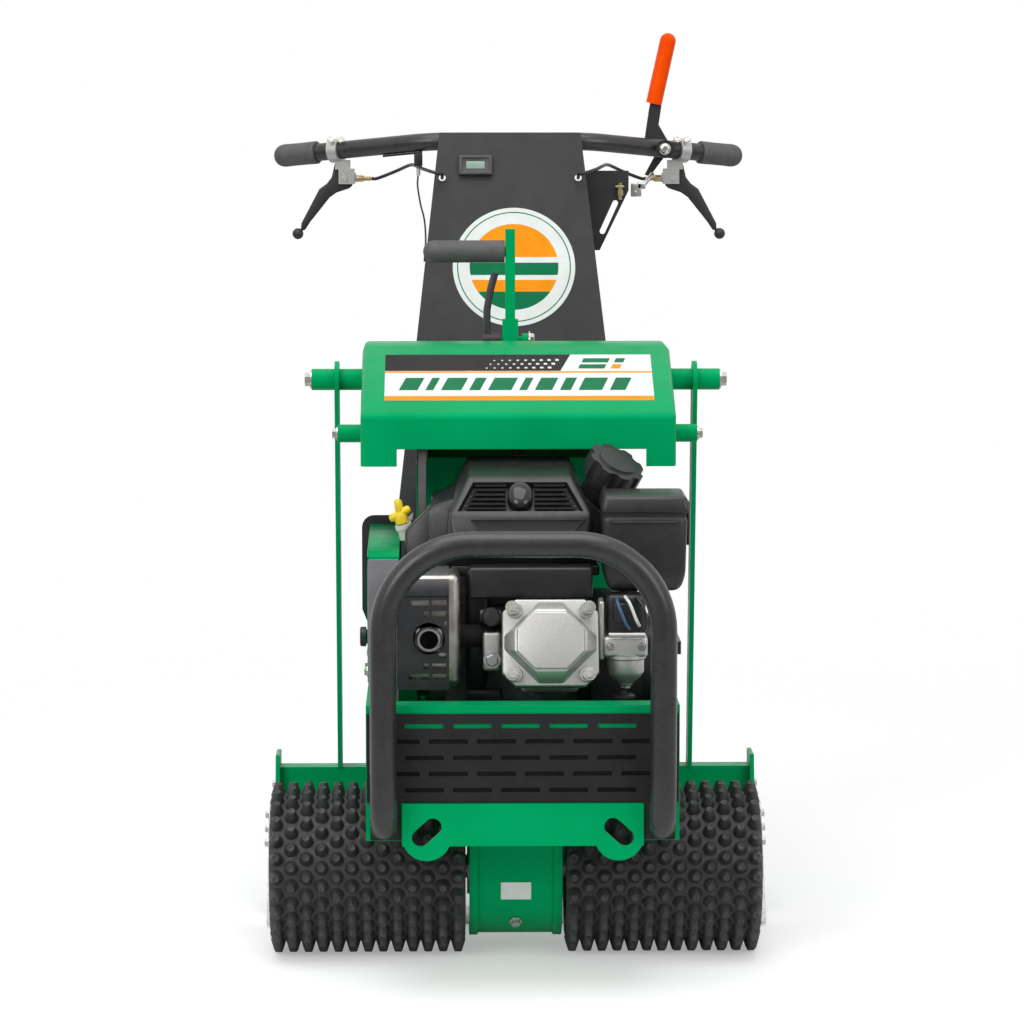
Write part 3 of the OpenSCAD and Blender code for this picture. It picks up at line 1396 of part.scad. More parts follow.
stand() main_frame();
stand() tower();
stand() front_bumper();
stand() tie_down_plate();
stand() front_grille();
stand() chain_case();
stand() axle_bearings();
stand() flange_bolts();
stand() drive_box();
stand() belt_guard();
stand() guard_plate();
stand() hydro_pump();
stand() drive_chain();
stand() drive_belts();
stand() handle_panel();
stand() handlebar();
stand() handle_grips();
stand() hour_meter();
stand() lever_perches();
stand() barrel_adjusters();
stand() clutch_cables();
stand() lever_bracket();
stand() engine_block();
stand() cylinder_head();
stand() valve_cover();
stand() muffler();
stand() muffler_guard();
stand() carburettor();
stand() air_cleaner();
stand() engine_cover();
stand() blower_housing();
stand() spark_plug_boot();
stand() axle_shaft();
stand() wheel_drums();
stand() studded_tyres();
stand() output_sprocket();
stand() crankshaft();
stand() drive_pulley();
stand() eccentric_shaft();
stand() eccentric_pulley();
stand() pump_pulley();
stand() rocker_shaft();
stand() swing_arms();
stand() cutter_beam();
stand() sod_blade();
stand() cutter_bolts();
stand() pitman_rod();
stand() depth_lever();
stand() depth_grip();
stand() depth_latch();
stand() caster_arm();
stand() caster_fork();
stand() caster_wheel();
stand() left_clutch_lever();
stand() right_clutch_lever();
stand() speed_lever();
stand() speed_grip();
stand() fuel_cap();
stand() dipstick();
stand() starter_grip();
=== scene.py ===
# %% [markdown]
# # Dressing a walk-behind sod cutter
# The frame holds every plate, shaft and lever at its real size, and it is never moved. This lesson dresses
# it: it gives each solid a finish, rounds its edges, and models the pieces that a solid only stands in for.

# %% Load the frame
import math

import bmesh
import bpy
from mathutils import Matrix, Vector


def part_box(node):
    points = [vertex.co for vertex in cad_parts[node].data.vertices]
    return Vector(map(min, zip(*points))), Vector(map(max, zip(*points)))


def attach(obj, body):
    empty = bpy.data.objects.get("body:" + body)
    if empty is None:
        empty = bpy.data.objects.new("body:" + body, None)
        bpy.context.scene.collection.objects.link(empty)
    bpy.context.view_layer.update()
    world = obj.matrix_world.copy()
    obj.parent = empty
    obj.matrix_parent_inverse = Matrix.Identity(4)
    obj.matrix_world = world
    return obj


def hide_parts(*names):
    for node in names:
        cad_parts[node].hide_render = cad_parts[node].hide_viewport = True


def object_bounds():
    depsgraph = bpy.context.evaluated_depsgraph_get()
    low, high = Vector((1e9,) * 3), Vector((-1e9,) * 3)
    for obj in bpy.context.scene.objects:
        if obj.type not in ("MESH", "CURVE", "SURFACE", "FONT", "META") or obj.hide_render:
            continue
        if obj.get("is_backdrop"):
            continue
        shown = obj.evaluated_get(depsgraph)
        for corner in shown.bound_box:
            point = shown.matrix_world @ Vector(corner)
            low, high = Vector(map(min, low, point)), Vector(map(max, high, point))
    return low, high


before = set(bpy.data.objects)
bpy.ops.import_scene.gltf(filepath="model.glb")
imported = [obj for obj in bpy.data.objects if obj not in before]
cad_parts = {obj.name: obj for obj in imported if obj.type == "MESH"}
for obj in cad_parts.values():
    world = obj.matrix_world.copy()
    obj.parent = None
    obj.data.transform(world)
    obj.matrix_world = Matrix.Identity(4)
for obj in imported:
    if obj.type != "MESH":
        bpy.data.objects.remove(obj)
cad_box = [list(corner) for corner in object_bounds()]
scene = bpy.context.scene
print("solids in the frame:", len(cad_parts))

# %% [markdown]
# The machine was drawn from its drive axle: x to the right, y back from the axle, z up from the floor, in
# millimetres. Working in those numbers keeps every piece readable, so one helper turns them into metres.

# %% Machine axes
MM = 0.001
RIGHT, BACK, UP = Vector((1, 0, 0)), Vector((0, 1, 0)), Vector((0, 0, 1))
AHEAD = Vector((0, -1, 0))
tyre_low, tyre_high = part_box("studded_tyres")
axle_y = (tyre_low.y + tyre_high.y) / 2


def at(x, y, z):
    """The place x right of the middle, y behind the axle and z above the floor, in millimetres."""
    return Vector((x * MM, axle_y + y * MM, z * MM))


def way(x, y, z):
    """A direction of length one."""
    return Vector((x, y, z)).normalized()


def across(foot, up, x, s):
    """The place x right and s up along a face that starts at foot, in millimetres."""
    return foot + RIGHT * (x * MM) + up * (s * MM)


def put(name, data):
    """A new object with that data in the scene."""
    made = bpy.data.objects.new(name, data)
    scene.collection.objects.link(made)
    return made


print("the axle stands at y", round(axle_y, 4))

# %% [markdown]
# A product photograph is taken from far away with a long lens, so upright edges stay upright. The camera
# stands almost five metres ahead of the axle, about as high as a chest, and looks a little down.

# %% Camera
picture_width = 1024
lens_in_pixels = 3826
lens_data = bpy.data.cameras.new("long_lens")
lens_data.sensor_width = 36.0
lens_data.lens = lens_data.sensor_width * lens_in_pixels / picture_width
lens_data.clip_end = 100.0
camera = put("camera", lens_data)
camera.location = at(-94, -4800, 1100)
look_down, look_right = 6.39, 1.02
camera.rotation_euler = (math.radians(90 - look_down), 0, math.radians(-look_right))
scene.camera = camera
print("lens", round(lens_data.lens, 1), "mm")

# %% [markdown]
# The light, the finishes and some modifiers are all built from nodes. A few small helpers keep that
# short: they make a node or a material, fill in inputs by name, and link an output to an input.

# %% Node helpers


def fill(made, **inputs):
    """Fills in a node's inputs; an underscore in an input's name stands for a space."""
    for name, value in inputs.items():
        made.inputs[name.replace("_", " ")].default_value = value
    return made


def node(tree, kind, operation=None, **inputs):
    """A new node with its inputs filled in."""
    made = tree.nodes.new(kind)
    if operation:
        made.operation = operation
    return fill(made, **inputs)


def wire(*links):
    """Makes links, each given as a node, its output, the next node and its input."""
    for start, out, end, into in links:
        start.id_data.links.new(start.outputs[out], end.inputs[into])


def new_look(name):
    """A new material with its tree of nodes and its shader."""
    look = bpy.data.materials.new(name)
    look.use_nodes = True
    return look, look.node_tree, look.node_tree.nodes["Principled BSDF"]


print("node helpers ready")

# %% [markdown]
# A white sweep and three soft boxes make the studio. The world is white to the eye and gives only a
# moderate light, so that colours come out about as they are written. In reflections it is bright overhead
# and dark where the camera stands, as in a real studio.

# %% Studio world
scene.view_settings.view_transform = "Standard"
ambient_level = 0.42
studio = bpy.data.worlds.new("white_studio")
scene.world = studio
studio.use_nodes = True
sky = studio.node_tree
sky_light = fill(sky.nodes["Background"], Color=(1, 1, 1, 1))
sky_path = node(sky, "ShaderNodeLightPath")
sky_way = node(sky, "ShaderNodeTexCoord")
overhead = node(sky, "ShaderNodeVectorMath", "DOT_PRODUCT")
overhead.inputs[1].default_value = (0, 0.45, 0.9)
mirrored = node(sky, "ShaderNodeMapRange", From_Min=-0.45, From_Max=0.6, To_Min=0.3, To_Max=1.0)
mirrored.interpolation_type = "SMOOTHSTEP"
lit = node(sky, "ShaderNodeMix", A=ambient_level)
level = node(sky, "ShaderNodeMix", B=1.0)
seen = node(sky, "ShaderNodeMath", "MAXIMUM")
wire(
    (sky_way, "Generated", overhead, 0),
    (overhead, "Value", mirrored, "Value"),
    (sky_path, "Is Glossy Ray", lit, "Factor"),
    (mirrored, "Result", lit, "B"),
    (sky_path, "Is Camera Ray", seen, 0),
    (sky_path, "Is Transmission Ray", seen, 1),
    (seen, "Value", level, "Factor"),
    (lit, "Result", level, "A"),
    (level, "Result", sky_light, "Strength"),
)
print("world light", ambient_level)

# %% [markdown]
# The floor glows a little to the eye and fades out further away, which leaves the soft shadow alone on
# white.

# %% Studio floor and lamps
floor_shape = bmesh.new()
bmesh.ops.create_grid(floor_shape, x_segments=2, y_segments=2, size=30)
floor_mesh = bpy.data.meshes.new("floor")
floor_shape.to_mesh(floor_mesh)
floor_shape.free()
floor = put("floor", floor_mesh)
floor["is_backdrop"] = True

sweep, paper, paper_shader = new_look("white_sweep")
fill(paper_shader, Base_Color=(0.82, 0.82, 0.82, 1), Roughness=0.9, Specular_IOR_Level=0.0)
fill(paper_shader, Emission_Color=(1, 1, 1, 1))
paper_path = node(paper, "ShaderNodeLightPath")
glow = node(paper, "ShaderNodeMath", "MULTIPLY")
glow.inputs[1].default_value = 0.34
paper_place = node(paper, "ShaderNodeTexCoord")
paper_far = node(paper, "ShaderNodeVectorMath", "LENGTH")
paper_edge = node(paper, "ShaderNodeMapRange", From_Min=0.7, From_Max=2.4)
paper_edge.interpolation_type = "SMOOTHSTEP"
no_paper = node(paper, "ShaderNodeBsdfTransparent")
paper_mix = node(paper, "ShaderNodeMixShader")
wire(
    (paper_path, "Is Camera Ray", glow, 0),
    (glow, "Value", paper_shader, "Emission Strength"),
    (paper_place, "Object", paper_far, 0),
    (paper_far, "Value", paper_edge, "Value"),
    (paper_edge, "Result", paper_mix, "Fac"),
    (paper_shader, "BSDF", paper_mix, 1),
    (no_paper, "BSDF", paper_mix, 2),
    (paper_mix, "Shader", paper.nodes["Material Output"], "Surface"),
)
floor_mesh.materials.append(sweep)


def soft_box(name, place, target, size, watts):
    """A square area light at a place, facing a target."""
    data = bpy.data.lights.new(name, "AREA")
    data.size = size
    data.energy = watts
    lamp = put(name, data)
    lamp.location = place
    lamp.rotation_euler = (target - place).to_track_quat("-Z", "Y").to_euler()


middle = at(0, 150, 550)
soft_box("box_above", at(-300, -1000, 5000), middle, 4.2, 130)
soft_box("box_left", at(-4600, -6200, 4100), middle, 4.0, 215)
soft_box("box_right", at(5200, -5400, 3300), middle, 4.0, 140)
print("studio of three soft boxes")

# %% [markdown]
# No real finish is even, so three noises break each one up: a slow one drifts between two shades, a finer
# one varies the gloss, and a fine one raises the skin. All the noise reads Object coordinates, which are
# metres here, so a scale of 1000 gives grains of about a millimetre on every piece.

# %% Finish helpers


def grain(tree, scale, detail=3.0, stretch=(1, 1, 1)):
    """Noise over the piece, as a value around one half."""
    where = node(tree, "ShaderNodeTexCoord")
    pull = node(tree, "ShaderNodeMapping", Scale=stretch)
    noise = node(tree, "ShaderNodeTexNoise", Scale=scale, Detail=detail)
    wire((where, "Object", pull, "Vector"), (pull, "Vector", noise, "Vector"))
    return noise


def coat(name, shades, gloss, skin_of, metallic=0.0, specular=0.5, sheen=None):
    """A finish with shades (dark, light), gloss (smooth, rough) and skin (strength, depth in millimetres).

    Each of the three ends with its noise's scale, and with its detail and stretch where they aren't usual.
    A sheen colours the reflections.
    """
    dark, light, *drift = shades
    smooth, rough, *spots = gloss
    strength, depth, *peel = skin_of
    between = (*[(a + b) / 2 for a, b in zip(dark, light)], 1)
    look, tree, shader = new_look(name)
    look.diffuse_color = between
    fill(shader, Base_Color=between, Metallic=metallic, Specular_IOR_Level=specular)
    if sheen:
        fill(shader, Specular_Tint=(*sheen, 1))
    ramp = node(tree, "ShaderNodeValToRGB")
    for stop, position, colour in zip(ramp.color_ramp.elements, (0.32, 0.68), (dark, light)):
        stop.position = position
        stop.color = (*colour, 1)
    levels = node(tree, "ShaderNodeMapRange", From_Min=0.3, From_Max=0.7, To_Min=smooth, To_Max=rough)
    bump = node(tree, "ShaderNodeBump", Strength=strength, Distance=depth * MM)
    wire(
        (grain(tree, *drift), "Fac", ramp, "Fac"),
        (grain(tree, *spots), "Fac", levels, "Value"),
        (grain(tree, *peel), "Fac", bump, "Height"),
        (ramp, "Color", shader, "Base Color"),
        (levels, "Result", shader, "Roughness"),
        (bump, "Normal", shader, "Normal"),
    )
    print("finish", name)
    return look


print("finish helpers ready")

# %% [markdown]
# Powder coat melts into a skin with a faint orange peel. The green coat is glossy and saturated; the black
# one has a sandy texture that scatters the light. The tubes have a smoother coat, and the sheets a duller
# one.

# %% Powder coats
green_coat = coat(
    "green_coat", ((0.0, 0.325, 0.105), (0.0005, 0.375, 0.127), 9), (0.29, 0.4, 60), (0.12, 0.25, 650, 1.5),
    specular=0.14, sheen=(0.08, 1.0, 0.5),
)
black_coat = coat(
    "black_coat", ((0.018, 0.018, 0.019), (0.027, 0.027, 0.029), 30), (0.4, 0.54, 900), (0.38, 0.3, 1300, 2),
    specular=0.45,
)
smooth_coat = coat(
    "smooth_coat", ((0.022, 0.022, 0.0235), (0.03, 0.03, 0.032), 30), (0.25, 0.36, 120), (0.06, 0.2, 240, 1),
    specular=0.55,
)
dark_sheet = coat(
    "dark_sheet", ((0.02, 0.021, 0.023), (0.03, 0.031, 0.034), 22), (0.34, 0.46, 140), (0.12, 0.2, 500, 2)
)
# Painted reflection: the dull dark sheet again, in a lighter grey for the light that the hood's front
# reflects.
painted_reflection_sheet = coat(
    "painted_reflection_sheet", ((0.172, 0.172, 0.186), (0.208, 0.208, 0.224), 22), (0.36, 0.48, 140), (0.12, 0.2, 500, 2)
)
matt_black = coat(
    "matt_black", ((0.01, 0.0095, 0.01), (0.0145, 0.014, 0.0145), 22), (0.56, 0.7, 140), (0.25, 0.25, 900, 2),
    specular=0.3,
)

# %% [markdown]
# Rubber is dull and slightly mottled. The drive tyres are a harder compound with a fine moulded grain, the
# grips a softer grey one, and the moulded covers of the engine a smoother plastic with a satin shine.

# %% Rubber and plastic
tyre_rubber = coat(
    "tyre_rubber", ((0.028, 0.027, 0.028), (0.045, 0.0435, 0.045), 45), (0.46, 0.68, 160), (0.2, 0.3, 800),
    specular=0.55,
)
grip_rubber = coat(
    "grip_rubber", ((0.078, 0.074, 0.075), (0.098, 0.094, 0.095), 70), (0.52, 0.7, 300), (0.3, 0.25, 1800, 2)
)
satin_plastic = coat(
    "satin_plastic", ((0.0145, 0.0145, 0.0155), (0.021, 0.021, 0.0225), 40), (0.3, 0.44, 220),
    (0.14, 0.2, 1500, 2),
)
gloss_plastic = coat(
    "gloss_plastic", ((0.01, 0.01, 0.011), (0.015, 0.015, 0.016), 30), (0.1, 0.2, 90), (0.03, 0.2, 240, 1)
)
orange_vinyl = coat(
    "orange_vinyl", ((0.92, 0.064, 0.0), (0.99, 0.084, 0.0005), 60), (0.28, 0.42, 200), (0.1, 0.3, 420, 2),
    specular=0.3, sheen=(1.0, 0.35, 0.1),
)
yellow_plastic = coat(
    "yellow_plastic", ((0.82, 0.58, 0.015), (0.94, 0.71, 0.03), 90), (0.3, 0.45, 300), (0.1, 0.2, 900),
    specular=0.4,
)
white_plastic = coat(
    "white_plastic", ((0.7, 0.7, 0.66), (0.83, 0.83, 0.81), 120), (0.34, 0.48, 400), (0.08, 0.2, 1200)
)

# %% [markdown]
# Metals take their colour from what they mirror, so their look is in the roughness. Cast alloy is sandy,
# turned steel has fine lines, zinc plate is bright and slightly warm, and the blade carries grinding
# streaks.

# %% Metals
cast_alloy = coat(
    "cast_alloy", ((0.51, 0.505, 0.49), (0.59, 0.585, 0.57), 420), (0.4, 0.52, 500), (0.2, 0.25, 1100, 2),
    metallic=0.85,
)
turned_steel = coat(
    "turned_steel", ((0.48, 0.48, 0.49), (0.63, 0.63, 0.64), 50), (0.22, 0.42, 120, 2, (14, 1, 1)),
    (0.08, 0.2, 160, 2, (16, 1, 1)), metallic=1.0,
)
zinc_plate = coat(
    "zinc_plate", ((0.55, 0.54, 0.5), (0.74, 0.735, 0.71), 180), (0.2, 0.38, 420), (0.1, 0.15, 900),
    metallic=1.0,
)
yellow_zinc = coat(
    "yellow_zinc", ((0.56, 0.42, 0.2), (0.72, 0.6, 0.4), 200), (0.2, 0.4, 420), (0.1, 0.15, 900), metallic=1.0
)
ground_steel = coat(
    "ground_steel", ((0.33, 0.325, 0.32), (0.5, 0.5, 0.505), 26, 4), (0.26, 0.5, 90, 3, (1, 10, 1)),
    (0.16, 0.25, 130, 3, (1, 12, 1)), metallic=1.0,
)
# Dark iron is the cast iron's own finish; on the engine block, an alloy casting, it is painted shade.
dark_iron_and_painted_shade = coat(
    "dark_iron_and_painted_shade", ((0.12, 0.12, 0.124), (0.2, 0.2, 0.205), 60, 4), (0.4, 0.62, 300), (0.35, 0.4, 700),
    metallic=0.8,
)
heated_steel = coat(
    "heated_steel", ((0.33, 0.3, 0.27), (0.5, 0.485, 0.47), 34, 4), (0.28, 0.5, 150), (0.12, 0.25, 500),
    metallic=1.0,
)

# %% [markdown]
# The solids of the frame have knife edges, which no sheet metal or casting has. A stack of modifiers rounds
# them without touching the mesh: the loose triangles are welded, flat ones joined, the edges rolled over,
# and the shading split only at the creases that are left. The splitting is a small group of geometry nodes.

# %% Shading by angle
crease_angle = math.radians(48)


def edge_group(name):
    """An empty group of geometry nodes, with its way in and its way out."""
    group = bpy.data.node_groups.new(name, "GeometryNodeTree")
    for direction in ("INPUT", "OUTPUT"):
        group.interface.new_socket("Geometry", in_out=direction, socket_type="NodeSocketGeometry")
    return group, node(group, "NodeGroupInput"), node(group, "NodeGroupOutput")


crease, came_in, goes_out = edge_group("shade_by_angle")
old_normals = node(crease, "GeometryNodeRemoveAttribute", Name="custom_normal")
round_faces = node(crease, "GeometryNodeSetShadeSmooth")
round_faces.domain = "FACE"
sharp_edges = node(crease, "GeometryNodeSetShadeSmooth", Shade_Smooth=False)
sharp_edges.domain = "EDGE"
bend_angle = node(crease, "GeometryNodeInputMeshEdgeAngle")
too_sharp = node(crease, "FunctionNodeCompare", "GREATER_THAN", B=crease_angle)
wire(
    (came_in, 0, old_normals, "Geometry"),
    (old_normals, "Geometry", round_faces, "Geometry"),
    (round_faces, "Geometry", sharp_edges, "Geometry"),
    (bend_angle, "Unsigned Angle", too_sharp, "A"),
    (too_sharp, "Result", sharp_edges, "Selection"),
    (sharp_edges, "Geometry", goes_out, 0),
)
print("creases start at", round(math.degrees(crease_angle)), "degrees")

# %% [markdown]
# The drive box is bent from one sheet, so its outer bends are rounder than its cut edges. A second group
# picks them: edges on the box's sides or at the fold of its slope, that are long, really bent, and above
# the rim. They get a weight, and a Bevel that works by weight rounds them.

# %% Bends of the drive box
box_side, box_fold, box_rim = 0.200, 0.684, 0.645
least_bend, least_length, close_by = 0.2, 0.035, 0.0006

bends, came_in, goes_out = edge_group("box_bends")
edge_middle = node(bends, "GeometryNodeInputPosition")
edge_parts = node(bends, "ShaderNodeSeparateXYZ")
edge_ends = node(bends, "GeometryNodeInputMeshEdgeVertices")
edge_long = node(bends, "ShaderNodeVectorMath", "DISTANCE")
edge_turn = node(bends, "GeometryNodeInputMeshEdgeAngle")
side_reach = node(bends, "ShaderNodeMath", "ABSOLUTE")
wire(
    (edge_middle, "Position", edge_parts, "Vector"),
    (edge_parts, "X", side_reach, 0),
    (edge_ends, "Position 1", edge_long, 0),
    (edge_ends, "Position 2", edge_long, 1),
)


def test(kind, start, out, value):
    """A math node that sets an output against a value."""
    made = node(bends, "ShaderNodeMath", kind)
    made.inputs[1].default_value = value
    made.inputs[2].default_value = close_by
    wire((start, out, made, 0))
    return made


def both(kind, first, second):
    """A math node on two others."""
    made = node(bends, "ShaderNodeMath", kind)
    wire((first, "Value", made, 0), (second, "Value", made, 1))
    return made


wanted = both(
    "MAXIMUM", test("COMPARE", side_reach, "Value", box_side), test("COMPARE", edge_parts, "Z", box_fold)
)
for start, out, least in (
    (edge_turn, "Unsigned Angle", least_bend), (edge_long, "Value", least_length), (edge_parts, "Z", box_rim)
):
    wanted = both("MULTIPLY", wanted, test("GREATER_THAN", start, out, least))
weigh = node(bends, "GeometryNodeStoreNamedAttribute", Name="bevel_weight_edge")
weigh.data_type = "FLOAT"
weigh.domain = "EDGE"
wire(
    (came_in, 0, weigh, "Geometry"), (wanted, "Value", weigh, "Value"), (weigh, "Geometry", goes_out, 0)
)
print("bends are picked by", len(bends.nodes), "nodes")

# %% [markdown]
# Every solid now gets the finish of its slot and the stack of modifiers, with a roll that suits its
# material. The engine block, an alloy casting, gets dark iron instead as painted shade, so that it reads dark
# behind the grille.

# %% Soft edges for the solids


def soften(solid, edge, bend_r=0):
    """Rounds a solid's edges, and its bends by a wider radius, in millimetres, with modifiers only."""
    weld = solid.modifiers.new("weld", "WELD")
    weld.merge_threshold = 0.00001
    flatten = solid.modifiers.new("flatten", "DECIMATE")
    flatten.decimate_type = "DISSOLVE"
    flatten.angle_limit = math.radians(0.6)
    if bend_r:
        pick = solid.modifiers.new("pick", "NODES")
        pick.node_group = bends
        fold_over = solid.modifiers.new("fold_over", "BEVEL")
        fold_over.width = bend_r * MM
        fold_over.segments = 4
        fold_over.limit_method = "WEIGHT"
    roll = solid.modifiers.new("roll", "BEVEL")
    roll.width = edge * MM
    roll.segments = 2
    roll.limit_method = "ANGLE"
    roll.angle_limit = math.radians(32)
    shade = solid.modifiers.new("shade", "NODES")
    shade.node_group = crease
    even = solid.modifiers.new("even", "WEIGHTED_NORMAL")
    even.keep_sharp = True


slot_finish = {
    "green_paint": green_coat, "black_paint": black_coat, "dark_sheet": dark_sheet,
    "tyre_rubber": tyre_rubber, "rubber": grip_rubber, "steel": turned_steel, "zinc": zinc_plate,
    "brass": yellow_zinc, "cast_alloy": cast_alloy, "black_plastic": satin_plastic,
    "orange_plastic": orange_vinyl, "yellow_plastic": yellow_plastic, "blade_steel": ground_steel,
    "cast_iron": dark_iron_and_painted_shade,
}
# Painted shade: the engine block gets dark iron, not its alloy, so that it reads dark behind the slots.
own_finish_and_painted_shade = {"engine_block": dark_iron_and_painted_shade, "blower_housing": satin_plastic}
box_bends = {"drive_box": 7}
edge_roll = {
    "green_paint": 1.0, "black_paint": 0.7, "cast_alloy": 1.4, "black_plastic": 1.5, "blade_steel": 0.5
}
for name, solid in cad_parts.items():
    slot = solid.data.materials[0].name.split(".")[0]
    solid.data.materials[0] = own_finish_and_painted_shade.get(name, slot_finish[slot])
    soften(solid, edge_roll.get(slot, 0.6), box_bends.get(name, 0))
print("solids softened:", len(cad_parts))

# %% [markdown]
# New pieces are made of a few moves: spin a profile into a turned part, extrude an outline into a plate,
# drop in a hex bolt. These helpers keep the later cells short. Each piece ends up at the origin with its
# place in its mesh.

# %% Modelling helpers
same_place = 0.000002


def piece(name, shape, look, stands_for=(), crease_at=40, body="machine"):
    """Turns a finished shape into a piece that rides on a body."""
    bmesh.ops.remove_doubles(shape, verts=shape.verts, dist=same_place)
    bmesh.ops.recalc_face_normals(shape, faces=shape.faces)
    mesh = bpy.data.meshes.new(name)
    shape.to_mesh(mesh)
    shape.free()
    for one in look if isinstance(look, list) else [look]:
        mesh.materials.append(one)
    mesh.shade_smooth()
    mesh.set_sharp_from_angle(angle=math.radians(crease_at))
    made = put(name, mesh)
    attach(made, body)
    if stands_for:
        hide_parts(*stands_for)
    print(name, "has", len(mesh.polygons), "faces")


def paint(faces, look):
    """Gives faces one of their piece's finishes, by its number."""
    for face in faces:
        face.material_index = look


def turned(shape, foot, axis, profile, steps=32, look=0):
    """Spins a profile of (radius, height) points, in millimetres, around an axis that starts at foot."""
    before = set(shape.faces)
    helper = UP if abs(axis.z) < 0.9 else BACK
    side = axis.cross(helper).normalized()
    dots = [shape.verts.new(foot + axis * (h * MM) + side * (r * MM)) for r, h in profile]
    lines = [shape.edges.new(ends) for ends in zip(dots, dots[1:])]
    bmesh.ops.spin(
        shape, geom=dots + lines, cent=foot, axis=axis, angle=2 * math.pi, steps=steps, use_merge=True
    )
    paint(set(shape.faces) - before, look)
    bmesh.ops.remove_doubles(shape, verts=list(shape.verts), dist=same_place)


def thicken(shape, faces, push):
    """Extrudes faces along a push."""
    grown = bmesh.ops.extrude_face_region(shape, geom=faces)["geom"]
    bmesh.ops.translate(shape, verts=[g for g in grown if isinstance(g, bmesh.types.BMVert)], vec=push)


def plate(shape, outline, push, look=0):
    """Extrudes an outline of places along a push."""
    before = set(shape.faces)
    thicken(shape, [shape.faces.new([shape.verts.new(p) for p in outline])], push)
    paint(set(shape.faces) - before, look)


def hex_bolt(shape, seat, out, size, flange=1.35, look=0):
    """Adds a hex bolt head of that half width over its corners, on a washer flange."""
    before = set(shape.faces)
    turn = Matrix.Translation(seat) @ out.to_track_quat("Z", "Y").to_matrix().to_4x4()
    for sides, low_r, high_r, low, high in (
        (20, size * flange, size * flange * 0.96, 0, size * 0.22),
        (6, size, size, size * 0.2, size * 0.72),
        (6, size, size * 0.84, size * 0.72, size * 0.86),
    ):
        middle_up = Matrix.Translation((0, 0, (low + high) / 2 * MM))
        bmesh.ops.create_cone(
            shape, cap_ends=True, segments=sides, radius1=low_r * MM, radius2=high_r * MM,
            depth=(high - low) * MM, matrix=turn @ middle_up,
        )
    paint(set(shape.faces) - before, look)


def rounded(shape, width, segments=2, angle=30):
    """Bevels every edge that turns by more than an angle, by a width in millimetres."""
    shape.normal_update()
    sharp = [e for e in shape.edges if e.is_manifold and e.calc_face_angle(0) > math.radians(angle)]
    bmesh.ops.bevel(
        shape, geom=sharp, offset=width * MM, offset_type="OFFSET", segments=segments, profile=0.5,
        affect="EDGES", material=-1, clamp_overlap=True,
    )


def round_line(name, places, radius, round_steps):
    """A curve with a round bevel along a line of places."""
    line = bpy.data.curves.new(name, "CURVE")
    line.dimensions = "3D"
    line.bevel_depth = radius * MM
    line.bevel_resolution = round_steps
    line.use_fill_caps = True
    run = line.splines.new("POLY")
    run.points.add(len(places) - 1)
    for point, place in zip(run.points, places):
        point.co = (*place, 1)
    run.use_smooth = True
    return put(name, line)


def tube(name, places, radius, look, stands_for=(), round_steps=5):
    """A round tube along a line of places, made from a bevelled curve."""
    carrier = round_line(name + "_line", places, radius, round_steps)
    shape = bmesh.new()
    shape.from_mesh(carrier.to_mesh())
    carrier.to_mesh_clear()
    bpy.data.objects.remove(carrier)
    piece(name, shape, look, stands_for)


print("modelling helpers ready")

# %% [markdown]
# The hoop ahead of the engine is one bent steel tube. Its line is two bends on each side, so a curve with a
# round bevel makes it with the even wall and the soft bends that a pipe bender leaves.

# %% Hoop
hoop_half, hoop_front, hoop_high, hoop_low, hoop_foot = 167.5, -290, 556, 210, -255
knee_r, shoulder_r = 32, 105


def hoop_side(side):
    """The hoop's line from its foot on the tray to the start of its top, on one side."""
    line = [at(side * hoop_half, hoop_foot, hoop_low)]
    for a in (math.radians(9 * i) for i in range(11)):
        turn_y, turn_z = knee_r * (1 - math.sin(a)), knee_r * (1 - math.cos(a))
        line.append(at(side * hoop_half, hoop_front + turn_y, hoop_low + turn_z))
    for a in (math.radians(6 * i) for i in range(16)):
        turn_x, turn_z = shoulder_r * (1 - math.cos(a)), shoulder_r * (1 - math.sin(a))
        line.append(at(side * (hoop_half - turn_x), hoop_front, hoop_high - turn_z))
    return line


tube(
    "hoop", hoop_side(-1) + hoop_side(1)[::-1], 16, smooth_coat, ["front_bumper"], 7
)

# %% [markdown]
# Each drive drum wears a rubber tyre with rows of blunt, dimpled studs, every second row shifted by half a
# step. One stud is turned from a profile; Spin copies it round the axle, and each ring joins the tyre.

# %% Studded tyres
stud_count, stud_rows, stud_step = 26, 13, 19
tread_r, stud_h = 94, 14
stud_profile = [
    (9.4, 0), (8.6, 2.5), (5.1, stud_h - 0.4), (4.3, stud_h + 1), (2.6, stud_h + 0.9), (0, stud_h - 0.6)
]


def join(shape, part, look=0):
    """Adds a finished part to a shape, in one of its finishes."""
    paint(part.faces, look)
    held = bpy.data.meshes.new("held")
    part.to_mesh(held)
    part.free()
    shape.from_mesh(held)
    bpy.data.meshes.remove(held)


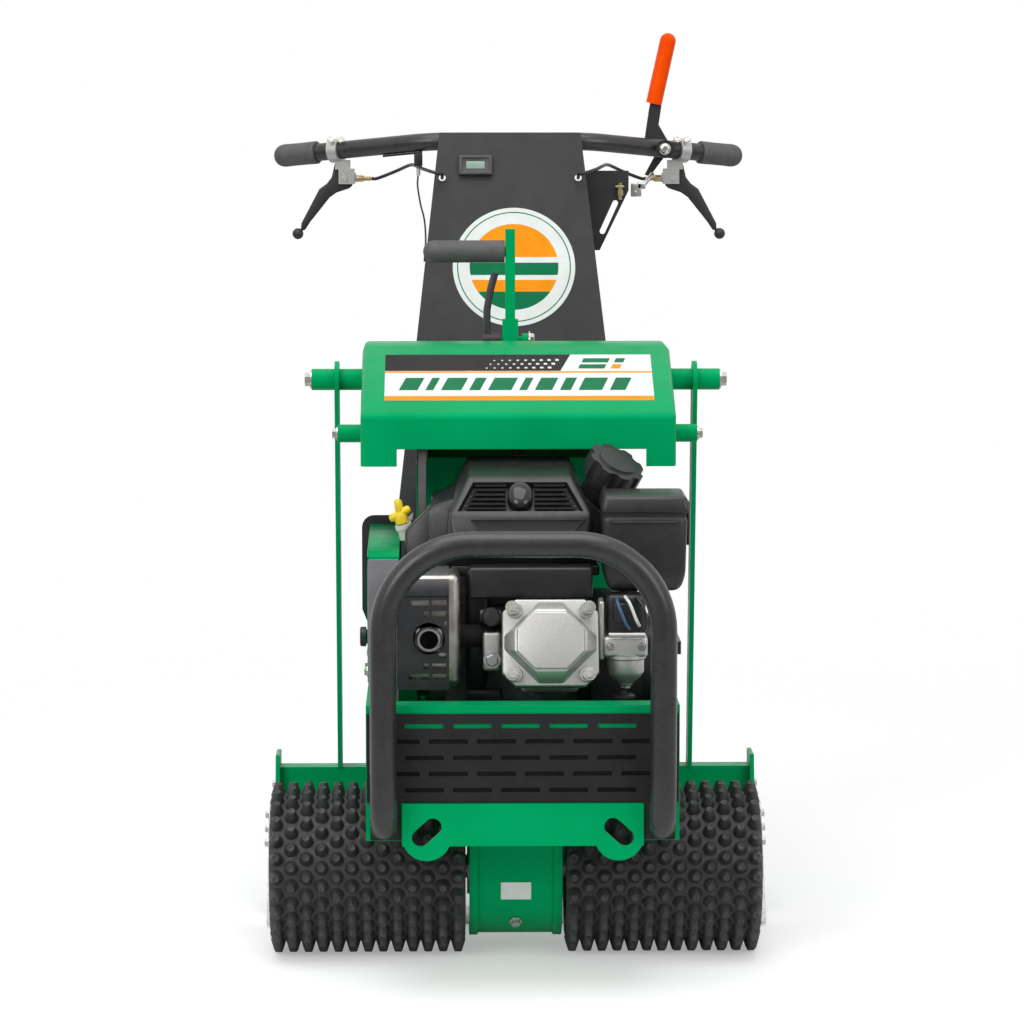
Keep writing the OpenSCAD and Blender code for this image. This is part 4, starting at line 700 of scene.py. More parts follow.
def studded_tyre(shape, x_low, x_high):
    """One tyre from x_low to x_high, with its studs."""
    hub = at(x_low, 0, 108)
    width = x_high - x_low
    half_wall = [(76.1, 2), (80, 0.3), (88, 0.3), (91.5, 1.2), (tread_r, 5)]
    carcass = half_wall + [(r, width - h) for r, h in half_wall[::-1]] + half_wall[:1]
    turned(shape, hub, RIGHT, carcass, 78)
    margin = (width - stud_rows * stud_step) / 2
    step = 2 * math.pi / stud_count
    for row in range(stud_rows):
        ring = bmesh.new()
        along = margin + (row + 0.5) * stud_step
        turned(ring, hub + RIGHT * (along * MM) + UP * ((tread_r - 1) * MM), UP, stud_profile, 12)
        bmesh.ops.spin(
            ring, geom=ring.verts[:] + ring.edges[:] + ring.faces[:], cent=hub, axis=RIGHT,
            angle=step * (stud_count - 1), steps=stud_count - 1, use_duplicate=True,
        )
        shift = Matrix.Rotation((row % 2 + 0.5) * step / 2, 3, RIGHT)
        bmesh.ops.rotate(ring, verts=ring.verts, cent=hub, matrix=shift)
        join(shape, ring)


tyres = bmesh.new()
for x_low, x_high in ((-315, -68), (58, 305)):
    studded_tyre(tyres, x_low, x_high)
piece("tyres_with_studs", tyres, tyre_rubber, ["studded_tyres"], 50, "axle")

# %% [markdown]
# The handlebar is one tube, straight behind the panel's top edge and swept out and back to the grips. Its
# grips are moulded rubber sleeves: a profile with a slight waist and a blunt round end, spun around the
# tube.

# %% Handlebar and grips
bar_corner, bar_tip, bar_bend = (112, 652.5, 1018.5), (322, 767.5, 996.5), 30
grip_long, grip_end, grip_r = 70, 16.5, 16.4
bar_right = (at(*bar_tip) - at(*bar_corner)).normalized()


def other_side(place, side):
    """The same place on the right for side 1, mirrored to the left for side -1."""
    return at(side * place[0], place[1], place[2])


def bend(before, corner, after, reach, steps=8):
    """Places around a smooth bend that leaves and joins its corner's two lines at a reach, in millimetres."""
    start = corner + (before - corner).normalized() * (reach * MM)
    end = corner + (after - corner).normalized() * (reach * MM)
    return [
        start * (1 - t) ** 2 + corner * 2 * t * (1 - t) + end * t ** 2
        for t in (i / steps for i in range(steps + 1))
    ]


bar_line = {}
for side in (-1, 1):
    tip = other_side(bar_tip, side)
    bar_line[side] = bend(at(0, *bar_corner[1:]), other_side(bar_corner, side), tip, bar_bend) + [tip]
tube("swept_bar", bar_line[-1][::-1] + bar_line[1], 12.7, smooth_coat, ["handlebar"], 6)

grip_profile = [(12.8, 0), (15.4, 0.2), (grip_r, 1.4), (grip_r, 5), (16.1, 20), (16.1, 40), (grip_r, 53)]
for angle in range(0, 91, 15):
    turn = math.radians(angle)
    end_r = grip_r * math.cos(turn) ** 0.7 if angle < 90 else 0
    grip_profile.append((end_r, 53.5 + grip_r * math.sin(turn)))
sleeves = bmesh.new()
for side in (-1, 1):
    out = Vector((side * bar_right.x, bar_right.y, bar_right.z))
    turned(sleeves, other_side(bar_tip, side) - out * ((grip_long - grip_end) * MM), out, grip_profile, 36)
piece("hand_grips", sleeves, grip_rubber, ["handle_grips"], 60)

# %% [markdown]
# The clutch cables are stiff sleeves of plastic over steel wire. Each leaves its brass adjuster, arches
# round the panel's edge and turns back into a hole in the panel, so both ends are held and only the arch is
# free.

# %% Clutch cables
panel_top_y, panel_top_z, panel_slope = 640, 1031, math.radians(72)
hole_x, hole_down = 96, 66
adjuster = (197.7, 727.0, 964.3)
cable_hops = [(0, 0, 0), (-8, 0, 0), (-34, -4, 10), (-56, -37, 20), (-66, -72, 19), (-74, -97, 16)]


def on_panel(x, down, behind=0.0):
    """A place on the handle panel: x across, down its slope from the top edge, and behind its face."""
    back = panel_top_y - down * math.cos(panel_slope) + behind * math.sin(panel_slope)
    return at(x, back, panel_top_z - down * math.sin(panel_slope) - behind * math.cos(panel_slope))


def flowing(places, steps=5):
    """A smooth line through the places."""
    ends = [places[0] * 2 - places[1]] + places + [places[-1] * 2 - places[-2]]
    line = []
    for a, b, c, d in zip(ends, ends[1:], ends[2:], ends[3:]):
        for t in (i / steps for i in range(steps)):
            curved = (a * 2 - b * 5 + c * 4 - d) * t ** 2 + (b * 3 - a - c * 3 + d) * t ** 3
            line.append((b * 2 + (c - a) * t + curved) / 2)
    return line + [places[-1]]


def cord(name, line, radius, stands_for=()):
    """A round cord along a line of places, riding on the machine."""
    made = round_line(name, line, radius, 3)
    made.data.materials.append(satin_plastic)
    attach(made, "machine")
    if stands_for:
        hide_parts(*stands_for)


for side, name in ((-1, "left_cable"), (1, "right_cable")):
    stops = [other_side([a + b for a, b in zip(adjuster, hop)], side) for hop in cable_hops]
    for turn in (math.radians(45 * i) for i in range(5)):
        reach = math.cos(turn)
        stops.append(at(side * (105.6 + 9.6 * reach), 604 - 10 * math.sin(turn), 975.5 + 2.5 * reach))
    stops += [on_panel(side * hole_x, hole_down, behind) for behind in (-8, 3)]
    cord(name, flowing(stops), 2.5, ["clutch_cables"])

# %% [markdown]
# Prints on the machine are thin vinyl. A sticker is a flat shape a fraction of a millimetre thick, and its
# colours are faces with their own finish, so that they stay crisp from close up. The motifs are plain
# bands.

# %% Vinyl finishes
vinyl_skin = (0.04, 0.1, 500, 1)
print_gloss = (0.28, 0.42, 300)
white_vinyl = coat(
    "white_vinyl", ((0.76, 0.80, 0.78), (0.83, 0.865, 0.85), 40), (0.26, 0.4, 300), vinyl_skin, specular=0.4
)
green_vinyl = coat(
    "green_vinyl", ((0.001, 0.155, 0.06), (0.0015, 0.185, 0.072), 40), print_gloss, vinyl_skin, specular=0.14
)
orange_print = coat(
    "orange_print", ((0.91, 0.285, 0.003), (0.98, 0.335, 0.006), 40), print_gloss, vinyl_skin, specular=0.14
)
black_print = coat(
    "black_print", ((0.011, 0.011, 0.011), (0.018, 0.018, 0.018), 40), (0.25, 0.4, 300), vinyl_skin,
    specular=0.16,
)
prints = [white_vinyl, green_vinyl, orange_print, black_print]
WHITE, GREEN, ORANGE, BLACK = range(4)

# %% [markdown]
# The round sticker on the panel is a white disc with a thin green ring. Inside, plain bands of orange and
# green stand for a low sun over layers of turf. Insets cut the rings and straight cuts the bands.

# %% Round sticker
face_out = (on_panel(0, 0, -1) - on_panel(0, 0)).normalized()
up_panel = (on_panel(0, 0) - on_panel(0, 1)).normalized()
sticker_r, sticker_t = 86, 0.4
sticker_at = on_panel(4.6, 196.6, -0.05)
band_edges = (14, 6, -12, -19, -36)
inner_r, cut_r = 60.5, 55
sticker = bmesh.new()
stand = Matrix((RIGHT, up_panel, face_out)).transposed().to_4x4()
bmesh.ops.create_circle(
    sticker, cap_ends=True, segments=96, radius=sticker_r * MM, matrix=Matrix.Translation(sticker_at) @ stand
)
disc = sticker.faces[:]
for rim in (6, 1.6, 16):
    bmesh.ops.inset_region(sticker, faces=disc, thickness=rim * MM, use_boundary=True)
for height in band_edges:
    inside = [f for f in sticker.faces if (f.calc_center_median() - sticker_at).length < cut_r * MM]
    cut = {g for f in inside for g in [f, *f.edges]}
    bmesh.ops.bisect_plane(
        sticker, geom=list(cut), plane_co=sticker_at + up_panel * (height * MM), plane_no=up_panel
    )
for face in sticker.faces:
    offset = face.calc_center_median() - sticker_at
    out_by, high = offset.length / MM, offset.dot(up_panel) / MM
    if out_by > inner_r:
        face.material_index = GREEN if 78 < out_by < 81 else WHITE
    else:
        from_top = sum(high < edge for edge in band_edges)
        face.material_index = (ORANGE, WHITE, GREEN, WHITE, ORANGE, GREEN)[from_top]
thicken(sticker, sticker.faces[:], face_out * (sticker_t * MM))
piece("round_sticker", sticker, prints)

# %% [markdown]
# A long sticker lies on the drive box's sloping face: a white field with a dark band of growing dots along
# the top, thin orange lines, and slanted green bars of several widths across the field.

# %% Long sticker
slope_low, slope_high = at(0, 20, 684), at(0, 180, 759)
slope_up = (slope_high - slope_low).normalized()
slope_out = RIGHT.cross(slope_up).normalized()
label_x, label_s = (-170, 174), (36, 155)
field_lift, print_lift = 0.02, 0.33


def band(x0, x1, s0, s1, look, slant=0.0, lift=print_lift, thick=0.12):
    """A flat band of the sticker, lifted off the slope and slanted at its ends, in millimetres."""
    corners = [(x0, s0), (x1, s0), (x1 + slant, s1), (x0 + slant, s1)]
    foot = slope_low + slope_out * (lift * MM)
    outline = [across(foot, slope_up, x, s) for x, s in corners]
    plate(long_sticker, outline, slope_out * (thick * MM), look)


long_sticker = bmesh.new()
band(*label_x, *label_s, WHITE, lift=field_lift, thick=0.3)
band(label_x[0], 40, 112, label_s[1], BLACK)
band(20, 56, 112, label_s[1], BLACK, slant=14, lift=0.36)
for s0, s1 in ((107, 111), (label_s[0], 47)):
    band(*label_x, s0, s1, ORANGE)
for start, width, lower in ((84, 34, GREEN), (126, 12, ORANGE)):
    band(start, start + width, 134, 145, GREEN, slant=3)
    band(start - 5, start + width - 5, 118, 129, lower, slant=3)
for start, width in (
    (-152, 24), (-118, 10), (-98, 26), (-62, 14), (-38, 30), (2, 10), (22, 22), (54, 14), (78, 30), (118, 20)
):
    band(start, start + width, 62, 94, GREEN, slant=9)
for dot in range(9):
    size = 2.2 + 0.3 * dot
    for row in range(3):
        start, low = -40 + dot * 10 + row * 5, 118 + row * 10
        band(start, start + size, low, low + size, WHITE, lift=0.5)
piece("long_sticker", long_sticker, prints)

# %% [markdown]
# The engine's covers and castings are many-sided forms. Each is the convex skin around its corner points,
# with every edge rolled as a mould leaves it. A cut can trim a form before its edges are rolled.

# %% Moulded forms


def skin(corners, cuts=()):
    """The convex skin around the corners, trimmed to the inner side of each cut (place, outward way)."""
    part = bmesh.new()
    spots = [part.verts.new(corner) for corner in corners]
    made = bmesh.ops.convex_hull(part, input=spots)
    spare = [g for g in made["geom_interior"] + made["geom_unused"] if isinstance(g, bmesh.types.BMVert)]
    bmesh.ops.delete(part, geom=spare, context="VERTS")
    for place, outward in cuts:
        every = part.verts[:] + part.edges[:] + part.faces[:]
        bmesh.ops.bisect_plane(part, geom=every, plane_co=place, plane_no=outward, clear_outer=True)
        bmesh.ops.holes_fill(part, edges=[e for e in part.edges if e.is_boundary])
    bmesh.ops.dissolve_limit(part, angle_limit=math.radians(1.5), verts=part.verts[:], edges=part.edges[:])
    bmesh.ops.recalc_face_normals(part, faces=part.faces)
    return part


def form(shape, corners, roll, look=0, cuts=()):
    """Adds a convex form with rolled edges."""
    part = skin(corners, cuts)
    rounded(part, roll, 3, 8)
    join(shape, part, look)


def block(shape, low, high, roll, look=0, draft=0.0):
    """Adds a rolled block between two corners, drawn in at its top by a draft."""
    corners = []
    for z, d in ((low[2], 0.0), (high[2], draft)):
        corners += [at(x, y, z) for x in (low[0] + d, high[0] - d) for y in (low[1] + d, high[1] - d)]
    form(shape, corners, roll, look)


def sink(shape, face, rim, slope, depth):
    """Insets a face by a rim and presses it in by a depth, with a narrow sloping wall, in millimetres."""
    bmesh.ops.inset_region(shape, faces=[face], thickness=rim * MM, use_boundary=True)
    bmesh.ops.inset_region(shape, faces=[face], thickness=slope * MM, depth=-depth * MM, use_boundary=True)


print("moulded forms ready")

# %% [markdown]
# The cooling cover's body has a brow with slats for the air, a glossy dome between them, and a raised plate
# under the brow. Its main face is found by its place, inset and pressed in, and the slats lean in the
# recess.

# %% Cooling cover
cover_low, cover_mid, cover_brow, cover_top = 500, 541, 571, 614
cover = bmesh.new()
body_part = skin([
    at(s * x, y, z)
    for s in (-1, 1)
    for x, y, z in (
        (96, -94, cover_low), (82, -126, cover_mid), (88, -116, cover_brow), (64, -70, cover_top),
        (64, 60, 628), (92, 96, cover_brow), (96, 96, cover_low),
    )
])
brow_spot, large_area = at(0, -93, 592), 0.002
rounded(body_part, 3.5, 3, 8)
brow_face = min(
    (f for f in body_part.faces if f.calc_area() > large_area),
    key=lambda f: (f.calc_center_median() - brow_spot).length,
)
sink(body_part, brow_face, 6, 1.5, 9)
join(cover, body_part)

brow_up, brow_out = way(0, 46, 43), way(0, -43, 46)
brow_foot = at(0, -116, cover_brow)
slat_lean = (brow_up * 0.86 - brow_out * 0.5).normalized()
slat_wide, slat_t = 6.8, 1.4
for i in range(6):
    s = 12 + i * 7.6
    half = 87 - 0.38 * s - 12
    row = brow_foot + brow_up * (s * MM) - brow_out * (1.2 * MM)
    for inner, outer in ((-17, -half), (17, half)):
        low_edge = [row + RIGHT * (inner * MM), row + RIGHT * (outer * MM)]
        high_edge = [place + slat_lean * (slat_wide * MM) for place in low_edge[::-1]]
        plate(cover, low_edge + high_edge, slat_lean.cross(RIGHT) * (slat_t * MM))
dome = bmesh.new()
dome_foot = brow_foot + brow_up * (33 * MM) - brow_out * (5 * MM)
dome_profile = [(16, 0), (16, 6), (15.2, 8), (12.5, 10.6), (8, 12.6), (3, 13.5), (0, 13.6)]
turned(dome, dome_foot, brow_out, dome_profile)
for spot in dome.verts:
    spot.co += brow_up * (spot.co - dome_foot).dot(brow_up) * 0.3
join(cover, dome, 1)

plate_up, plate_out = way(0, 10, 30), way(0, -30, 10)
plate_corners = ((-52, 4), (52, 4), (72, 26), (-72, 26))
plate_t, plate_in = 3.2, 0.5
plate_foot = at(8, -126, cover_mid) - plate_out * (plate_in * MM)
raised = bmesh.new()
outline = [across(plate_foot, plate_up, x, s) for x, s in plate_corners]
plate(raised, outline, plate_out * (plate_t * MM))
sink(raised, max(raised.faces, key=lambda f: f.calc_center_median().dot(plate_out)), 2.5, 0.8, 1.8)
rounded(raised, 0.5)
join(cover, raised, 1)
print("cover's body has", len(cover.faces), "faces")

# %% [markdown]
# A wing hangs out over the muffler on the left. It is cut into four, which leaves room for the dipstick in
# its side and a slit at the back for the belt. A smaller wing on the right carries the filler neck of the
# tank.

# %% Cover's wings
belt_cut, belt_slit = -14, -20
wing = [at(*c) for c in (
    (-64, -84, 502), (-143, -70, 502), (-143, -62, 546), (-109, -62, 578), (-64, -68, 591), (-64, 50, 603),
    (-109, 56, 580), (-143, 72, 546), (-143, 80, 502), (-64, 80, 502),
)]
for roll, cut_y, y_way, cut_x, x_way in (
    (3.5, belt_cut, BACK, -116, -RIGHT), (3.5, -46, BACK, -110, RIGHT),
    (1.5, belt_slit, AHEAD, -133.5, RIGHT), (1.5, belt_slit, AHEAD, -110.5, -RIGHT),
):
    form(cover, wing, roll, cuts=[(at(0, cut_y, 0), y_way), (at(cut_x, 0, 0), x_way)])
form(cover, [at(*c) for c in (
    (64, -38, 502), (120, -28, 502), (120, -44, 550), (86, -50, 582), (64, -54, 591), (64, 50, 603),
    (86, 56, 584), (120, 72, 550), (120, 80, 502), (64, 80, 502),
)], 3.5)
block(cover, (-86, -100, 494), (98, -84, 507), 2.5)
block(cover, (-68, -106, 352), (-41, -60, 504), 7)
block(cover, (-68, -106, 335), (-22, -94, 353), 5)
block(cover, (-64, -146, 471), (88, -88, 510), 4)
cap_seat, cap_way = at(112, -24, 608), way(0.42, -0.40, 0.82)
neck_profile = [(25, 0), (25, 34), (30, 37), (30, 42), (28, 43.8), (0, 43.8)]
turned(cover, cap_seat - cap_way * (44 * MM), cap_way, neck_profile, 40)
piece("cooling_cover", cover, [satin_plastic, gloss_plastic], ["engine_cover"], 35)

# %% [markdown]
# The air cleaner is a moulded box with drawn-in walls, a lid with a lip all round and a spring clip at its
# end.

# %% Air cleaner
cleaner = bmesh.new()
form(cleaner, [
    at(x, y, z)
    for z, d in ((482, 9), (500, 2), (577, 0))
    for x in (99 + d, 203 - d)
    for y in (-168 + d, -62 - d)
], 8)
block(cleaner, (101, -166, 572), (201, -68, 586), 3)
block(cleaner, (97, -171, 579), (206, -66, 600), 5, draft=4)
block(cleaner, (203.5, -136, 536), (207.5, -106, 590), 1.6)
block(cleaner, (110, -170, 566), (190, -166, 570), 1.5)
piece("air_box", cleaner, satin_plastic, ["air_cleaner"], 35)

# %% [markdown]
# The valve cover is cast aluminium: an octagon flange, a raised middle with drawn sides, and four bolts in
# the corners that the raised middle leaves free. A bolted lug beside it holds the pipe, and the plug's cap
# is a round rubber knob on a sleeve.

# %% Valve cover
head_axis, head_up = Vector((0, -0.9511, 0.3090)), Vector((0, 0.3090, 0.9511))
head_reach = 196
head_face = at(35, 5, 360) + head_axis * (head_reach * MM)


def on_head(x, up, out):
    """A place on the head's outer face: x right, up and out from it."""
    return across(head_face, head_up, x, up) + head_axis * (out * MM)


def octagon(width, height, cut, out):
    """An octagon on the head, from a rectangle with cut corners, at a height out from the face."""
    x, y = width / 2, height / 2
    return [
        on_head(s * a, t * b, out) for s in (-1, 1) for t in (-1, 1) for a, b in ((x - cut, y), (x, y - cut))
    ]


valve = bmesh.new()
for low_octagon, high_octagon, roll in (
    ((119, 109, 17, 0.2), (117, 107, 16, 10), 2.0),
    ((115, 103, 43, 9), (87, 75, 24, 27), 2.2),
    ((84, 72, 22, 26), (81, 69, 21, 29.5), 1.5),
):
    form(valve, octagon(*low_octagon) + octagon(*high_octagon), roll)
for x in (-43.5, 43.5):
    for y in (-39.5, 39.5):
        turned(valve, on_head(x, y, 9), head_axis, [(9.5, 0), (9.5, 3), (8.6, 4), (0, 4)], 24)
        hex_bolt(valve, on_head(x, y, 13), head_axis, 5.6, 1.3, 1)
block(valve, (-47, -174, 386), (-25.5, -164, 434), 4)
hex_bolt(valve, at(-36, -174, 400), AHEAD, 8, 1.4, 1)
piece("cast_cover", valve, [cast_alloy, turned_steel], ["valve_cover"], 35)

boot = bmesh.new()
sleeve_profile = [(0, 0), (8, 0), (9, 1), (9, 24), (7, 27.5), (0, 27.5)]
knob_profile = [(0, 0), (10, 0), (11.5, 8), (12, 16), (9.5, 20), (4, 21.5), (0, 21.5)]
turned(boot, at(-51, -153, 451), RIGHT, sleeve_profile, 28)
turned(boot, at(-37, -157, 451), way(0, -1, 0.1), knob_profile)
piece("plug_cap", boot, satin_plastic, ["spark_plug_boot"])

# %% [markdown]
# The carburettor is a small casting with a float bowl under it that narrows to a drain bolt. A dark plastic
# choke body with its wires sits on top, a throttle rod lies across the front, and a rubber foot ends the
# drain.

# %% Carburettor
carb = bmesh.new()
carb_x, carb_y = 128, -160
bowl_profile = [(0, 0), (8, 0), (11, 3), (19, 10), (22.5, 16), (22.5, 31), (25, 33), (25, 37), (0, 37)]
foot_profile = [(0, 0), (15, 0), (16, 1.2), (16, 4), (12, 6), (5, 7), (5, 11), (0, 11)]
block(carb, (100, -182, 404), (154, -140, 429), 4)
block(carb, (94.5, -178, 400), (101, -136, 472), 2.5)
turned(carb, at(carb_x, carb_y, 368), UP, bowl_profile, 36)
hex_bolt(carb, at(carb_x, carb_y, 368), -UP, 6.5, 1.4, 1)
turned(carb, at(106, -187, 432), RIGHT, [(0, 0), (3.2, 0), (3.2, 44), (0, 44)], 16)
for x in (108, 147):
    hex_bolt(carb, at(x, -182, 417), AHEAD, 4.0, 1.3, 1)
block(carb, (104, -174, 429), (152, -140, 480), 7, 2)
block(carb, (112, -180, 446), (134, -170, 470), 3, 2)
turned(carb, at(carb_x - 4, carb_y, 350), UP, foot_profile, 28, 2)
carb_looks = [cast_alloy, turned_steel, satin_plastic]
piece("float_carburettor", carb, carb_looks, ["carburettor"], 35)

blue_wire = coat(
    "blue_wire", ((0.04, 0.11, 0.21), (0.06, 0.15, 0.27), 60), (0.28, 0.42, 200), (0.06, 0.1, 900, 1)
)
for name, look, places in (
    ("choke_wire", blue_wire, [(116, -176, 476), (118, -188, 468), (126, -188, 448), (132, -178, 438)]),
    ("ground_wire", white_vinyl, [(126, -176, 478), (132, -188, 470), (139, -188, 452), (144, -176, 442)]),
    ("throttle_wire", satin_plastic,
     [(140, -174, 478), (149, -186, 464), (152, -186, 446), (148, -182, 432)]),
):
    tube(name, flowing([at(*p) for p in places]), 2.0, look)

# %% [markdown]
# The muffler is a pressed steel box with well rounded edges. Its outlet is a short turned pipe, sooty
# inside, and a dark pipe joins it to the head.

# %% Muffler
# Near black and dull: soot inside the outlet and on the pipe here, and painted shade on the sheet behind the
# grille.
soot_and_painted_shade = coat(
    "soot_and_painted_shade", ((0.006, 0.006, 0.006), (0.011, 0.01, 0.009), 200), (0.7, 0.9, 300), (0.1, 0.2, 800, 1),
    specular=0.2,
)
outlet_profile = [(19, 0), (19, 2), (16, 3), (14, 8), (14, 19), (11.4, 19), (11.4, 4)]
muffler = bmesh.new()
block(muffler, (-149, -178, 367), (-75, -100, 505), 9)
turned(muffler, at(-113, -179, 428), AHEAD, outlet_profile, 40)
turned(muffler, at(-113, -178, 428), AHEAD, [(11.6, 0), (11.6, 4), (0, 4)], 24)
turned(muffler, at(-113, -182.3, 428), AHEAD, [(11.3, 14), (11.3, 0.5), (0, 0)], 24, 1)
turned(muffler, at(-77, -147.7, 426), RIGHT, [(0, 0), (14, 0), (14, 53.5), (0, 53.5)], 28, 1)
piece("exhaust_box", muffler, [heated_steel, soot_and_painted_shade], ["muffler"], 35)

# %% [markdown]
# A dark sheet guard stands before the muffler. Its slots are cells left out of a grid of faces, the round
# port is bridged to a square cell, and the top is a bent strip that leads back over the box.

# %% Muffler guard
sheet_t = 1.5


def pierced(shape, sheet_y, x_ends, z_ends, holes, thick):
    """An upright sheet of a thickness, without the cells of its grid that lie in a hole (x, z, x, z)."""
    xs = sorted({*x_ends, *(h[i] for h in holes for i in (0, 2))})
    zs = sorted({*z_ends, *(h[i] for h in holes for i in (1, 3))})
    spots = {(x, z): shape.verts.new(at(x, sheet_y, z)) for x in xs for z in zs}
    faces = []
    for x0, x1 in zip(xs, xs[1:]):
        for z0, z1 in zip(zs, zs[1:]):
            x, z = (x0 + x1) / 2, (z0 + z1) / 2
            if not any(a < x < b and c < z < d for a, c, b, d in holes):
                faces.append(shape.faces.new([spots[c] for c in ((x0, z0), (x1, z0), (x1, z1), (x0, z1))]))
    bmesh.ops.delete(shape, geom=[v for v in spots.values() if not v.link_faces], context="VERTS")
    thicken(shape, faces, BACK * (thick * MM))


guard = bmesh.new()
guard_x, guard_y, guard_z = (-152, -88.5), -185, (365, 480)
slot_half, port_r = 3.4, 19.5
port = (-131, 411, -95.5, 441)
holes = [port]
for row_z, runs in (
    (472, ((-137, -112.5), (-109.5, -91.5))), (458.5, ((-119.5, -113), (-109.5, -91.5))),
    (446, ((-94.5, -91),)), (407, ((-101, -91.5),)), (394, ((-119.5, -113), (-109.5, -91.5))),
    (381, ((-138, -112.5), (-109.5, -91.5))),
):
    holes += [(left, row_z - slot_half, right, row_z + slot_half) for left, right in runs]
pierced(guard, guard_y, guard_x, guard_z, holes, sheet_t)

port_part = bmesh.new()
port_turn = Matrix.Translation(at(-113, guard_y, 428)) @ Matrix.Rotation(math.pi / 2, 4, "X")
bmesh.ops.create_circle(port_part, segments=36, radius=port_r * MM, matrix=port_turn)
square = [port_part.verts.new(at(x, guard_y, z)) for x, z in (
    (-95.3, 428), (-95.3, 441.2), (-113, 441.2), (-131.2, 441.2), (-131.2, 428), (-131.2, 410.8),
    (-113, 410.8), (-95.3, 410.8),
)]
for pair in zip(square, square[1:] + square[:1]):
    port_part.edges.new(pair)
bmesh.ops.bridge_loops(port_part, edges=port_part.edges[:])
thicken(port_part, port_part.faces[:], BACK * (sheet_t * MM))
join(guard, port_part)
bent_strip = (
    (-185, 479), (-185, 484), (-180, 497), (-168, 509), (-150, 513), (-150, 511.5), (-167, 507.5),
    (-178.5, 496), (-183.5, 484), (-183.5, 479),
)
plate(guard, [at(guard_x[0], y, z) for y, z in bent_strip], RIGHT * ((guard_x[1] - guard_x[0]) * MM))
block(guard, (-152, -184, 365), (-150.2, -108, 508), 0.6)
piece("slotted_guard", guard, dark_sheet, ["muffler_guard"], 35)

# %% [markdown]
# A black sheet with five staggered rows of slots closes the tray's front. The tray's lip is folded down
# behind its top row. Behind the other rows hangs a near-black sheet of painted shade, which stands for the
# dark inside of the tray, so that the slots look dark. Two aprons hide the tray's corners.

# %% Grille
grille = bmesh.new()
grille_y, grille_t = -257.4, 2
slot_long, slot_pitch, row_half = 46.5, 58, 2.7
holes = []
for row, row_z in enumerate((332, 313.4, 293.6, 274, 254.2)):
    first = -171 if row % 2 else -142
    for left in (first + i * slot_pitch for i in range(5 + row % 2)):
        holes.append((left, row_z - row_half, left + slot_long, row_z + row_half))
pierced(grille, grille_y, (-188, 188), (239, 347), holes, grille_t)
for apron_x in (-184, 147):
    block(grille, (apron_x, grille_y, 193), (apron_x + 37, grille_y + grille_t, 240), 0.6)
block(grille, (-184.5, -254.8, 324), (184.5, -252.6, 353), 0.6, 1)
# Painted shade: a near-black sheet behind the lower slots stands for the dark inside of the tray.
block(grille, (-184.5, -254.6, 251), (184.5, -252.6, 322), 0.6, 2)
piece("slotted_sheet", grille, [matt_black, green_coat, soot_and_painted_shade], ["front_grille"], 35)

# %% [markdown]
# A folded hood covers the belt on the left. Its profile is one bent strip pushed across, closed on the
# outside by a wall. A plate closes its front, in a lighter grey that is a painted reflection of the light on
# it; a black rounded sheet stands behind it, and a knob holds its side.

# %% Belt hood
hood = bmesh.new()
hood_x0, hood_x1, hood_t = -190, -150, 3
fold = [(-83, 505), (-83, 517), (-60, 522), (60, 530), (137, 532), (137, 392)]
fold_in = [(134, 392), (134, 529), (60, 527), (-60, 519), (-80, 514.5), (-80, 505)]
wall = [(-83, 358)] + fold[:5] + [(137, 358)]
plate(hood, [at(hood_x0, y, z) for y, z in fold + fold_in], RIGHT * ((hood_x1 - hood_x0) * MM))
plate(hood, [at(hood_x0, y, z) for y, z in wall], RIGHT * (hood_t * MM))
rounded(hood, 1.2)
for y in (-52, -22, 110):
    hex_bolt(hood, at(hood_x0, y, 368), -RIGHT, 5.5, 1.4, 1)
knob_profile = [(0, 0), (9, 0), (9, 2), (12.5, 3), (12.5, 9), (11, 10.5), (0, 10.5)]
turned(hood, at(hood_x0, -20, 407), -RIGHT, knob_profile, 28, 2)
piece("belt_hood", hood, [green_coat, zinc_plate, satin_plastic], ["belt_guard"], 35)

hood_front = bmesh.new()
# Painted reflection: these front plates are lighter grey than the dark sheet for the light they reflect.
block(hood_front, (-189, -85.4, 358), (-151, -83.3, 513), 0.9)
block(hood_front, (-184, -85.4, 302), (-151, -83.3, 358.5), 0.9)
sheet_left, sheet_top, corner_r = -201, 543, 16
outline = [(hood_x1, 405), (hood_x1, sheet_top)]
for a in (math.radians(10 * i) for i in range(10)):
    outline.append((sheet_left + corner_r * (1 - math.sin(a)), sheet_top - corner_r * (1 - math.cos(a))))
outline += [(sheet_left, 420), (-195, 405)]
plate(hood_front, [at(x, 138.5, z) for x, z in outline], BACK * (hood_t * MM), 1)
piece("hood_sheets", hood_front, [painted_reflection_sheet, dark_sheet], ["guard_plate"], 35)

# %% [markdown]
# The chain case has side plates that stand a little proud of its round front. Each is a strip along the
# same curve. A small plain plate is glued on the curve above the drain bolt.

# %% Chain case trim
trim = bmesh.new()
case_r, case_z, case_top = 84, 108, 244
flange_w = 11
curve = [math.radians(190 + 10 * i) for i in range(11)]


def case_line(radius):
    """The line down the case's front and under its round end, at a radius."""
    round_end = [(radius * math.cos(a), case_z + radius * math.sin(a)) for a in curve]
    return [(-radius, case_top), (-radius, case_z)] + round_end


for x in (-63.5, 42.5):
    strip = case_line(case_r + 3) + case_line(case_r - 1)[::-1]
    plate(trim, [at(x, y, z) for y, z in strip], RIGHT * (flange_w * MM))
rounded(trim, 0.8, 2, 40)
piece("case_flanges", trim, green_coat)

